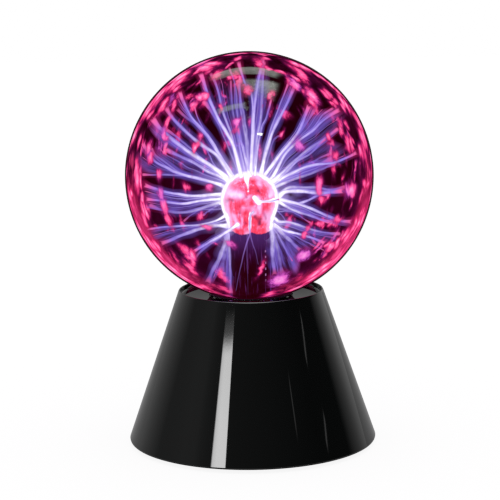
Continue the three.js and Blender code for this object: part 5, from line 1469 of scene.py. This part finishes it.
def seen_from_front(p):
    """A pad given by its outline in the front view, laid on the glass; a wide one near the limb breaks into flecks."""
    c = np.array(p[:3]) / np.linalg.norm(p[:3])
    t = math.radians(p[5])
    want = -math.sin(t) * RIGHT + math.cos(t) * UP
    long_ = want - c * (c @ want)
    stretch = max(np.linalg.norm(long_), 0.55)
    long_ = long_ / max(np.linalg.norm(long_), 1e-6)
    across_ = np.cross(long_, c)
    seen = max(math.hypot(across_ @ RIGHT, across_ @ UP), 0.16)
    rim_ = 1.22 if abs(c @ NEAR) < 0.45 and c[2] > 0.2 else 1.0
    half = min(p[3] * PXW * 1.30 * rim_ / seen, 9.0)
    tall = p[4] * PXW * 1.24 * rim_ / stretch
    n_ = 1 if half < 5.2 else 2
    if abs(c @ NEAR) > 0.70 or p[7] > 0.35:
        n_ = 1
    for k_ in range(n_):
        off_ = (k_ - (n_ - 1) / 2) * 2 * half / n_ * more.uniform(0.7, 1.15)
        q_ = c * WALL + across_ * off_ + long_ * (more.uniform(-0.3, 0.3) * (0.35 if rim_ > 1 else 1.0) * tall if n_ > 1 else 0.0)
        pads.append((q_ / np.linalg.norm(q_), half / n_ * (more.uniform(0.85, 1.15) * rim_ if n_ > 1 else 1.0), tall * (more.uniform(0.65, 1.05) * rim_ ** 0.7 if n_ > 1 else 1.0), long_, p[6], p[7]))


for p in PADS + [(0.146, -0.377, -0.915, 3.6, 6.0, 0, 0.75, 0.2), (0.07, -0.764, -0.642, 2.0, 8.0, -8, 0.80, 0.15)]:
    seen_from_front(p)
for name, (path, heat, width) in STRAND_PATHS.items():
    if name[0] == "X" or name in THREADS or heat < 0.2:
        continue
    c = (path[-1] - GLOBE) / np.linalg.norm(path[-1] - GLOBE)
    at_rim = 1.0 - abs(c @ NEAR)
    pads.append((c, more.uniform(1.5, 2.3) + 1.6 * at_rim, more.uniform(3.6, 6.4), more.uniform(-26, 26), 0.72 + 0.2 * heat, more.uniform(0.0, 0.30)))
for name, end in EXTRA:
    pads.append(((end - GLOBE) / 96.8, more.uniform(1.5, 2.8), more.uniform(4.0, 8.0), more.uniform(-25, 25), more.uniform(0.6, 0.9), more.uniform(0, 0.5)))


def chain(c, strength):
    """A discharge pad on the glass: a tall fleck with one or two smaller ones run into it."""
    lean = more.uniform(-24, 24)
    side_, up_ = np.cross([0, 0, 1.0], c), None
    side_ /= max(np.linalg.norm(side_), 1e-6)
    up_ = np.cross(c, side_)
    pads.append((c, more.uniform(1.2, 2.6), more.uniform(4.5, 10.0), lean, strength, more.uniform(0, 0.45)))
    for _ in range(more.choice((1, 1, 2))):
        q_ = c + side_ * more.uniform(-0.055, 0.055) + up_ * more.uniform(-0.10, 0.10)
        pads.append((q_ / np.linalg.norm(q_), more.uniform(0.8, 1.6), more.uniform(2.5, 6.0), lean + more.uniform(-14, 14),
                     strength * more.uniform(0.55, 0.95), more.uniform(0, 0.5)))


for side in (-1, 1):        # the flanks, hardly seen from the front
    for i in range(15):
        a = math.radians(side * 90 + more.uniform(-62, 62)) + math.pi / 2
        b = math.radians(more.uniform(-52, 66))
        c = np.array([math.cos(a - math.pi / 2) * math.cos(b) * 1.0, 0, math.sin(b)])
        c = np.array([math.sin(math.radians(side * 90 + more.uniform(-16, 16))) * math.cos(b), more.uniform(0.10, 0.80), math.sin(b)])
        c /= np.linalg.norm(c)
        chain(c, more.uniform(0.42, 0.80))
for i in range(26):         # the rear wall
    c = np.array([more.uniform(-0.8, 0.8), 1.0, more.uniform(-0.6, 0.9)])
    c /= np.linalg.norm(c)
    chain(c, more.uniform(0.30, 0.60))
for i in range(90):         # dim smudges all round
    c = np.array([more.gauss(0, 1), more.gauss(0, 1), more.gauss(0, 1)])
    c /= np.linalg.norm(c)
    if c[2] > -0.78 and abs(c @ NEAR) > 0.28:
        pads.append((c, more.uniform(1.0, 2.4), more.uniform(4.0, 10.5), more.uniform(-20, 20), more.uniform(0.26, 0.48), more.uniform(0, 0.45)))
lit = np.zeros(count, np.float32)
hue = np.zeros(count, np.float32)
halo_ = np.zeros(count, np.float32)
for c, rx, ry, rot, strength, lilac in pads:
    c = c / np.linalg.norm(c)
    if np.ndim(rot) == 0:            # a lean from the vertical, in degrees
        level = np.cross([0, 0, 1.0], c)
        level /= max(np.linalg.norm(level), 1e-6)
        t = math.radians(rot)
        rot = -math.sin(t) * level + math.cos(t) * np.cross(c, level)
    long_ = rot / np.linalg.norm(rot)
    across_ = np.cross(long_, c)
    near = pv_unit @ c.astype(np.float32) > 0.955
    local = pv[near] - (c * WALL).astype(np.float32)
    a = local @ across_.astype(np.float32) + warp_a[near]
    b = local @ long_.astype(np.float32) + warp_b[near]
    q = (a / rx) ** 2 + (b / ry) ** 2
    value = strength * np.exp(-0.74 * q ** 0.88)
    lit[near] = np.maximum(lit[near], value)
    halo_[near] = np.maximum(halo_[near], strength * np.exp(-0.35 * q))
    hue[near] += value * lilac
hue = hue / np.maximum(lit, 0.05)
for name, values in (("lit", lit), ("halo", halo_), ("hue", np.clip(hue, 0, 1))):
    at_ = wall_mesh.attributes.new(name, "FLOAT", "POINT")
    at_.data.foreach_set("value", values.astype(np.float32))
wall_mesh.transform(Matrix.Translation(Vector(GLOBE.tolist())))
wall_mesh.transform(Matrix.Scale(MM, 4))
wall_mesh.shade_smooth()


def wall_look():
    m = Net("wall_glow")
    p = m.here()
    nv = m.facing()
    lit_, halo1, hue_ = m.attr("lit"), m.attr("halo"), m.attr("hue")
    rag = m.noise(m.vec("MULTIPLY", p, (1.0, 1.0, 0.45)), 0.42, 4, 0.62)
    fine = m.noise(m.vec("MULTIPLY", p, (1.0, 1.0, 0.5)), 1.3, 3, 0.6)
    v = lit_ + (rag - 0.5) * 0.62 * m.step(lit_, 0.05, 0.4) * m.step(nv, 0.10, 0.50, 0.30, 1.0) + (fine - 0.5) * 0.14 * m.step(lit_, 0.1, 0.5)
    body = m.step(v, 0.08, 0.72)
    colour = m.ramp(v, [(0.10, lin(110, 0, 44)), (0.34, lin(204, 28, 94)), (0.56, lin(250, 66, 134)), (0.80, lin(255, 104, 168)), (1.0, lin(255, 164, 214))])
    lilac = m.ramp(v, [(0.10, lin(80, 24, 100)), (0.40, lin(164, 66, 180)), (0.7, lin(232, 108, 206)), (1.0, lin(250, 156, 228))])
    colour = m.mix(m.step(hue_, 0.25, 0.8), colour, lilac)
    # the thin glowing skin of gas looks denser where it is seen edge on
    film = m.noise(m.vec("MULTIPLY", p, (1.0, 1.0, 0.55)), 0.075, 5, 0.62)
    skin = m.step(film, 0.40, 0.68)
    dense = m.step(nv, 0.60, 0.20)
    px_, py_, pz_ = m.split(p)
    high = ((pz_ - 218.1) * 0.993 + py_ * 0.119) / WALL
    wide = m.math("SQRT", px_ * px_ + py_ * py_) / WALL
    belt = m.step(high, 0.08, -0.36) * m.step(wide, 0.48, 0.72) * m.step(nv + (film - 0.5) * 0.55, 0.46, 0.24)
    film_fac = m.clamp(skin * (0.02 + 0.80 * dense ** 1.5) + belt * (0.30 + 0.9 * rag))
    film_fac = film_fac * (1.0 - 0.76 * m.step(high, -0.05, 0.25))
    film_fac = film_fac * (1.0 - 0.93 * m.step(m.math("ABSOLUTE", px_) / WALL, 0.24, 0.12) * m.step(high, -0.45, -0.72))
    film_colour = m.mix(m.clamp(m.step(film, 0.48, 0.70) + belt * 0.7 * rag), lin(146, 8, 64), lin(252, 72, 140))
    fringe = m.step(halo1, 0.14, 0.80) * 0.27 * (0.5 + rag)
    rest = m.clamp(fringe + film_fac)
    fac = m.clamp(body * (0.70 + 0.35 * fine) * m.step(nv, 0.95, 0.45, 0.80, 1.0) + rest)
    low = m.mix(m.step(film_fac, 0.05, 0.35), m.mix(m.noise(p, 0.05, 3), lin(150, 10, 66), lin(118, 34, 120)), film_colour)
    colour = m.mix(body, low, colour)
    return m.done(m.shade(m.lo(fac, 0.97), m.clear(), m.emit(colour, 1.0 + 0.1 * body)), sampled=False)


piece(wall_glow, wall_look())

# ------------------------------------------------------------------ the gas: a painted dark backdrop inside the globe, and the haze of its glow
def ball(name, centre, r, sub=5, squash=(1, 1, 1)):
    bm_ = bmesh.new()
    bmesh.ops.create_icosphere(bm_, subdivisions=sub, radius=r)
    me_ = bpy.data.meshes.new(name)
    bm_.to_mesh(me_)
    bm_.free()
    me_.transform(Matrix.Diagonal((*squash, 1)))
    me_.transform(Matrix.Translation(Vector([float(c) for c in centre])))
    me_.transform(Matrix.Scale(MM, 4))
    me_.shade_smooth()
    ob_ = bpy.data.objects.new(name, me_)
    scene.collection.objects.link(ob_)
    return ob_


m = Net("gas_painted_dark_backdrop")
p = m.here()
x, y, z = m.split(p)
big = m.noise(p, 0.012, 3, 0.5)
mid = m.noise(m.vec("MULTIPLY", p, (1.0, 1.0, 0.6)), 0.05, 4, 0.6)
# painted shade: the inside of the ball is an opaque dark maroon sheet behind the discharge, darker towards the top,
# varied with noise
depth = m.step(z, 300.0, 150.0) * 0.6 + (big - 0.5) * 0.9 + (mid - 0.5) * 0.5
tone = m.ramp(depth, [(0.0, lin(28, 0, 6)), (0.40, lin(39, 0, 12)), (0.70, lin(47, 2, 28)), (1.0, lin(54, 10, 58))])
# the inner face is drawn opaque, which also keeps the studio light out of the globe
m.done(m.shade(m.geo("Backfacing"), m.clear(), m.emit(tone, 1.0)), sampled=False)
gas = ball("gas_fill", GLOBE, 99.2, 6)
piece(gas, m.block)

for name, centre, r, power, amount, tone_, sq in (
        ("gas_glow_outer", (0, 0, 200), 74.0, 2.4, 0.024, lin(92, 36, 140), (1, 1, 0.95)),
        ("gas_glow_inner", (0, 0, 197), 40.0, 2.0, 0.07, lin(170, 134, 240), (1, 1, 1.0))):
    m = Net(name)
    nv = m.facing()
    fog = m.noise(m.here(), 0.035, 4, 0.55)
    fac = nv ** power * amount * (0.3 + 1.3 * fog) * (1.0 - m.geo("Backfacing"))
    m.done(m.shade(m.clamp(fac), m.clear(), m.emit(tone_, 1.0)), sampled=False)
    piece(ball(name, centre, r, 5, sq), m.block)

# ------------------------------------------------------------------ inside the stem
def crinkle(v):
    """Crumpled foil: facets pushed in and out by a few tenths of a millimetre."""
    a = np.arctan2(v[:, 1], v[:, 0])
    r = np.hypot(v[:, 0], v[:, 1])
    pts = np.stack([np.cos(a) * 12, np.sin(a) * 12, v[:, 2]], 1).astype(np.float32)
    d_ = 0.16 * field_noise(pts, 0.9, 5) + 0.10 * np.abs(field_noise(pts, 2.2, 6))
    d_ = np.clip(d_, -0.32, 0.32)
    out_ = v.copy()
    out_[:, 0] = np.cos(a) * (r + d_)
    out_[:, 1] = np.sin(a) * (r + d_)
    return out_


foil_profile = ([(12.7, z) for z in np.linspace(106.2, 171.0, 110)] + [(11.9, z) for z in np.linspace(171.0, 106.2, 60)])
m = Net("foil_painted_glints_and_glow")
p = m.here()
x, y, z = m.split(p)
nv = m.facing()
spark = m.noise(p, 0.8, 4, 0.7)
# painted highlights: glints on the crinkles' edges and a dotted glint along the seam, shown as emission and brighter
# towards the top
edge = m.step(nv, 0.55, 0.18) * m.step(spark, 0.5, 0.62)
painted_seam_dash = m.step(m.math("SINE", z * 1.28), 0.1, 0.5) * m.step(x, 10.9, 11.6) * m.step(0.0 - y, -3.0, 1.0)
painted_glint_colour = m.mix(m.step(z, 120.0, 170.0), lin(96, 40, 84), lin(190, 150, 220))
fac = m.clamp(edge * 0.55 + painted_seam_dash * 0.6)
# painted light: the foil's faint maroon emission stands in for the plasma's light falling on it
body = m.pbr(Base_Color=lin(150, 148, 150), Metallic=1.0, Roughness=0.35, Normal=m.bump(spark, 0.0002, 0.8),
             Emission_Color=m.mix(m.step(spark, 0.4, 0.7), lin(16, 1, 9), lin(34, 8, 28)), Emission_Strength=1.0)
m.done(m.shade(fac, body, m.emit(painted_glint_colour, 0.9)), sampled=False)
piece(lathe("foil_roll_crinkled", foil_profile, 140, bend=crinkle, angle=60), m.block, "foil_roll")

liner_out = catmull([(6.0, 0, 171.8), (10.0, 0, 173.2), (13.4, 0, 176.0), (15.2, 0, 179.8), (17.3, 0, 186.2), (18.7, 0, 191.2), (19.5, 0, 195.6)], 26)[:, [0, 2]].tolist()
liner_out += arc(0, 198.5, 19.7, -8, 90, 40)[1:-1] + [(0.0, 218.2)]
liner_in = [(0.0, 217.0)] + list(reversed(arc(0, 198.5, 18.5, -8, 90, 30)[:-1])) + [(17.5, 191.6), (16.1, 186.6), (14.1, 180.6), (12.5, 177.2), (9.6, 174.6), (6.0, 173.4)]
m = Net("liner_painted_glow")
p = m.here()
wool = m.noise(m.vec("MULTIPLY", p, (1.0, 1.0, 2.5)), 0.7, 5, 0.7)
# painted light: the steel wool's pink emission stands in for the discharge's light falling on it
m.done(m.pbr(Base_Color=m.mix(wool, lin(70, 66, 70), lin(150, 146, 150)), Metallic=0.9, Roughness=0.55,
             Normal=m.bump(wool, 0.0004, 0.8), Emission_Color=lin(196, 52, 96), Emission_Strength=0.5), sampled=False)
piece(shell_of_revolution("electrode_liner_mesh", liner_out, liner_in, 96), m.block, "electrode_liner")

m = Net("tip_glass")
m.done(m.shade(0.35 + 0.4 * (1.0 - m.facing()), m.clear(), m.pbr(Base_Color=lin(200, 206, 204), Roughness=0.12)))
dress("exhaust_tip", m.block)

# ------------------------------------------------------------------ carried-over nodes
dress(["collar_screw_1", "collar_screw_2", "collar_screw_3", "plate_screw_1", "plate_screw_2", "plate_screw_3",
       "board_screw_1", "board_screw_2", "board_screw_3", "board_screw_4", "transistor_screw", "switch_screw_1", "switch_screw_2"], STEEL, 0.12)
dress("base_plate", SATIN, 0.25)
dress("dc_jack", SATIN_FINE, 0.25, 3)
dress("dc_jack_pin", BRASS, 0.2)
dress("dc_jack_nut", STEEL, 0.25)
dress("mode_switch", metal("switch_can", (176, 178, 180), 0.34, (1, 8, 1)), 0.12)
dress("mode_switch_lever", satin_black("lever_grey", (92, 92, 95), 6.0, 0.4), 0.15)

# circuit board: mask over copper tracks, drilled pads with painted shade in their holes, bare edges
m = Net("circuit_board")
p = m.here()
x, y, z = m.split(p)
gx, gy = x * 0.3937, y * 0.3937                       # a tenth-inch grid
cell, _ = m.voronoi(m.join(gx, gy, 0.0), 1.0, rand=0.0)
pads_ = m.step(cell, 0.30, 0.26)
hole = m.step(cell, 0.14, 0.11)
pick = m.step(m.noise(m.join(m.math("FLOOR", gx + 0.5), m.math("FLOOR", gy + 0.5), 0.0), 0.9, 1), 0.52, 0.56)
run1 = m.noise(m.join(m.math("FLOOR", gy * 2.0), gx * 0.12, 3.0), 1.7, 2)
tracks = m.band(m.math("FRACT", gy * 2.0), 0.30, 0.70, 0.06) * m.step(run1, 0.50, 0.53)
run2 = m.noise(m.join(m.math("FLOOR", gx * 2.0), gy * 0.12, 9.0), 1.7, 2)
tracks2 = m.band(m.math("FRACT", gx * 2.0), 0.30, 0.70, 0.06) * m.step(run2, 0.52, 0.55)
copper_here = m.hi(tracks, tracks2)
maskc = m.mix(m.noise(p, 0.3, 3), lin(14, 74, 38), lin(20, 92, 48))
maskc = m.mix(copper_here * 0.7, maskc, lin(40, 132, 66))
padf = pads_ * pick
maskc = m.mix(padf, maskc, lin(198, 196, 190))
# painted shade: each drilled hole is a near-black dot
maskc = m.mix(hole * pick, maskc, lin(12, 12, 10))
side = m.step(m.math("ABSOLUTE", m.split(m.geo("Normal"))[2]), 0.6, 0.4)
maskc = m.mix(side, maskc, lin(176, 160, 104))
m.done(m.pbr(Base_Color=maskc, Roughness=0.32 + 0.3 * side - 0.1 * padf, Metallic=padf * 0.9,
             Normal=m.bump(copper_here + padf, 0.00006, 0.7)))
dress("driver_board", m.block, 0.1)

dress(["core_lower", "core_upper"], satin_black("ferrite", (40, 40, 42), 2.2, 0.55), 0.5, 3)
dress("coil_bobbin", plastic("bobbin_nylon", (216, 204, 176), 0.42), 0.25)


def winding(name, node, x0, r_in, r_out, pitch, material, amp):
    """A wound coil: the outer skin shows its turns."""
    lo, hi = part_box(node)
    z0, z1 = lo.z * 1000 + 0.02, hi.z * 1000 - 0.02
    cx, cy = (lo.x + hi.x) * 500, (lo.y + hi.y) * 500
    turns = int((z1 - z0) / pitch)
    prof_ = [(r_in, z1), (r_in, z0)]
    for i in range(turns * 8 + 1):
        f_ = i / 8
        prof_.append((r_out - amp + amp * abs(math.sin(math.pi * f_)), z0 + (z1 - z0) * f_ / turns))
    body_ = lathe(name, prof_, 72, (cx, cy), angle=None)
    piece(body_, material, node)


m = Net("enamelled_copper")
p = m.here()
m.done(m.pbr(Base_Color=m.mix(m.noise(p, 0.4, 4), lin(184, 92, 40), lin(212, 122, 60)), Metallic=0.85, Roughness=0.28,
             Coat_Weight=0.6, Coat_Roughness=0.12, Normal=m.bump(m.noise(p, 3.0, 3), 0.00005, 0.4)))
copper_mat = m.block
lo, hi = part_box("primary_winding")
winding("primary_winding_turns", "primary_winding", 0, 8.92, (hi.x - lo.x) * 500 - 0.02, 0.8, copper_mat, 0.28)
lo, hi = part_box("hv_winding")
potting = plastic("potting_resin", (52, 30, 20), 0.22, (30, 16, 12), 0.4)
winding("hv_winding_turns", "hv_winding", 0, 11.72, (hi.x - lo.x) * 500 - 0.02, 2.4, potting, 0.35)

dress("heatsink", metal("black_anodised", (58, 60, 64), 0.42, (1, 1, 10), amount=0.4, tarnish=(34, 35, 38)), 0.2)
m = Net("chip_epoxy")
p = m.here()
sp = m.noise(p, 4.0, 4, 0.65)
m.done(m.pbr(Base_Color=m.mix(m.step(sp, 0.4, 0.75), lin(24, 24, 26), lin(58, 58, 60)), Roughness=0.55, Normal=m.bump(sp, 0.00004, 0.5)))
dress(["power_transistor", "control_ic"], m.block, 0.15)


def sleeve(name, node, tone, stripe):
    lo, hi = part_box(node)
    cx, cy, top_ = (lo.x + hi.x) * 500, (lo.y + hi.y) * 500, hi.z * 1000
    m_ = Net(name)
    p_ = m_.here()
    x_, y_, z_ = m_.split(p_)
    ang = m_.math("ARCTAN2", y_ - cy, x_ - cx)
    bar_ = m_.band(ang, -0.45, 0.45, 0.03)
    marks = m_.band(m_.math("FRACT", z_ * 0.22), 0.3, 0.7, 0.03) * m_.band(ang, -0.2, 0.2, 0.02)
    col = m_.mix(bar_, lin(*tone), lin(*stripe))
    col = m_.mix(marks * bar_, col, lin(*tone))
    capf = m_.step(z_, top_ - 0.55, top_ - 0.35) * m_.step(m_.math("SQRT", (x_ - cx) ** 2.0 + (y_ - cy) ** 2.0), (hi.x - lo.x) * 500 - 0.7, (hi.x - lo.x) * 500 - 1.0)
    col = m_.mix(capf, col, lin(200, 202, 204))
    return m_.done(m_.pbr(Base_Color=col, Metallic=capf * 0.9, Roughness=0.3 + 0.1 * m_.noise(p_, 1.0, 3),
                          Normal=m_.bump(m_.noise(p_, 1.2, 3), 0.00005, 0.4)))


dress("bulk_capacitor", sleeve("sleeve_bulk", "bulk_capacitor", (24, 30, 52), (196, 200, 206)), 0.3, 3)
dress("filter_capacitor", sleeve("sleeve_filter", "filter_capacitor", (28, 26, 30), (188, 176, 120)), 0.25, 3)
dress("film_capacitor", plastic("film_cap", (186, 74, 34), 0.34, (160, 56, 26), 0.8), 0.5, 3)


def banded(name, node):
    lo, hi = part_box(node)
    sx, sy = hi.x - lo.x, hi.y - lo.y
    m_ = Net(name)
    p_ = m_.here()
    x_, y_, z_ = m_.split(p_)
    t_ = m_.span(x_ if sx > sy else y_, (lo.x if sx > sy else lo.y) * 1000, (hi.x if sx > sy else hi.y) * 1000)
    col = m_.ramp(t_, [(0.0, lin(190, 190, 188)), (0.20, lin(206, 178, 134)), (0.33, lin(150, 60, 24)), (0.39, lin(206, 178, 134)),
                       (0.45, lin(20, 20, 20)), (0.51, lin(206, 178, 134)), (0.56, lin(200, 60, 30)), (0.62, lin(206, 178, 134)),
                       (0.70, lin(190, 150, 60)), (0.75, lin(206, 178, 134)), (0.81, lin(190, 190, 188))], "CONSTANT")
    return m_.done(m_.pbr(Base_Color=col, Roughness=0.35, Normal=m_.bump(m_.noise(p_, 2.0, 3), 0.00004, 0.4)))


dress("resistor_1", banded("resistor_bands_1", "resistor_1"), 0.2, 3)
dress("resistor_2", banded("resistor_bands_2", "resistor_2"), 0.2, 3)
dress("trimmer_base", plastic("trimmer_blue", (26, 66, 158), 0.36, (20, 52, 130)), 0.2)
dress("trimmer_rotor", plastic("rotor_white", (226, 224, 216), 0.4), 0.12)
dress("microphone", metal("mic_can", (206, 208, 210), 0.24), 0.2)
dress(["hv_lead"], plastic("wire_red", (176, 22, 18), 0.36, (140, 16, 14)))
dress("jack_wire_1", plastic("pvc_red", (184, 26, 20), 0.4, (150, 18, 14)))
dress("jack_wire_2", plastic("pvc_black", (26, 26, 27), 0.4, (14, 14, 15)))
dress("switch_wire_1", plastic("pvc_white", (222, 220, 214), 0.42, (196, 194, 188)))
dress("switch_wire_2", plastic("pvc_blue", (28, 74, 168), 0.4, (20, 56, 136)))
for name in ("hv_lead", "jack_wire_1", "jack_wire_2", "switch_wire_1", "switch_wire_2"):
    sub = NODES[name].modifiers.new("round", "SUBSURF")
    sub.levels = sub.render_levels = 1
for name, ob in NODES.items():
    if not ob.hide_render:
        ob.data.shade_smooth()
        ob.data.set_sharp_from_angle(angle=math.radians(34))
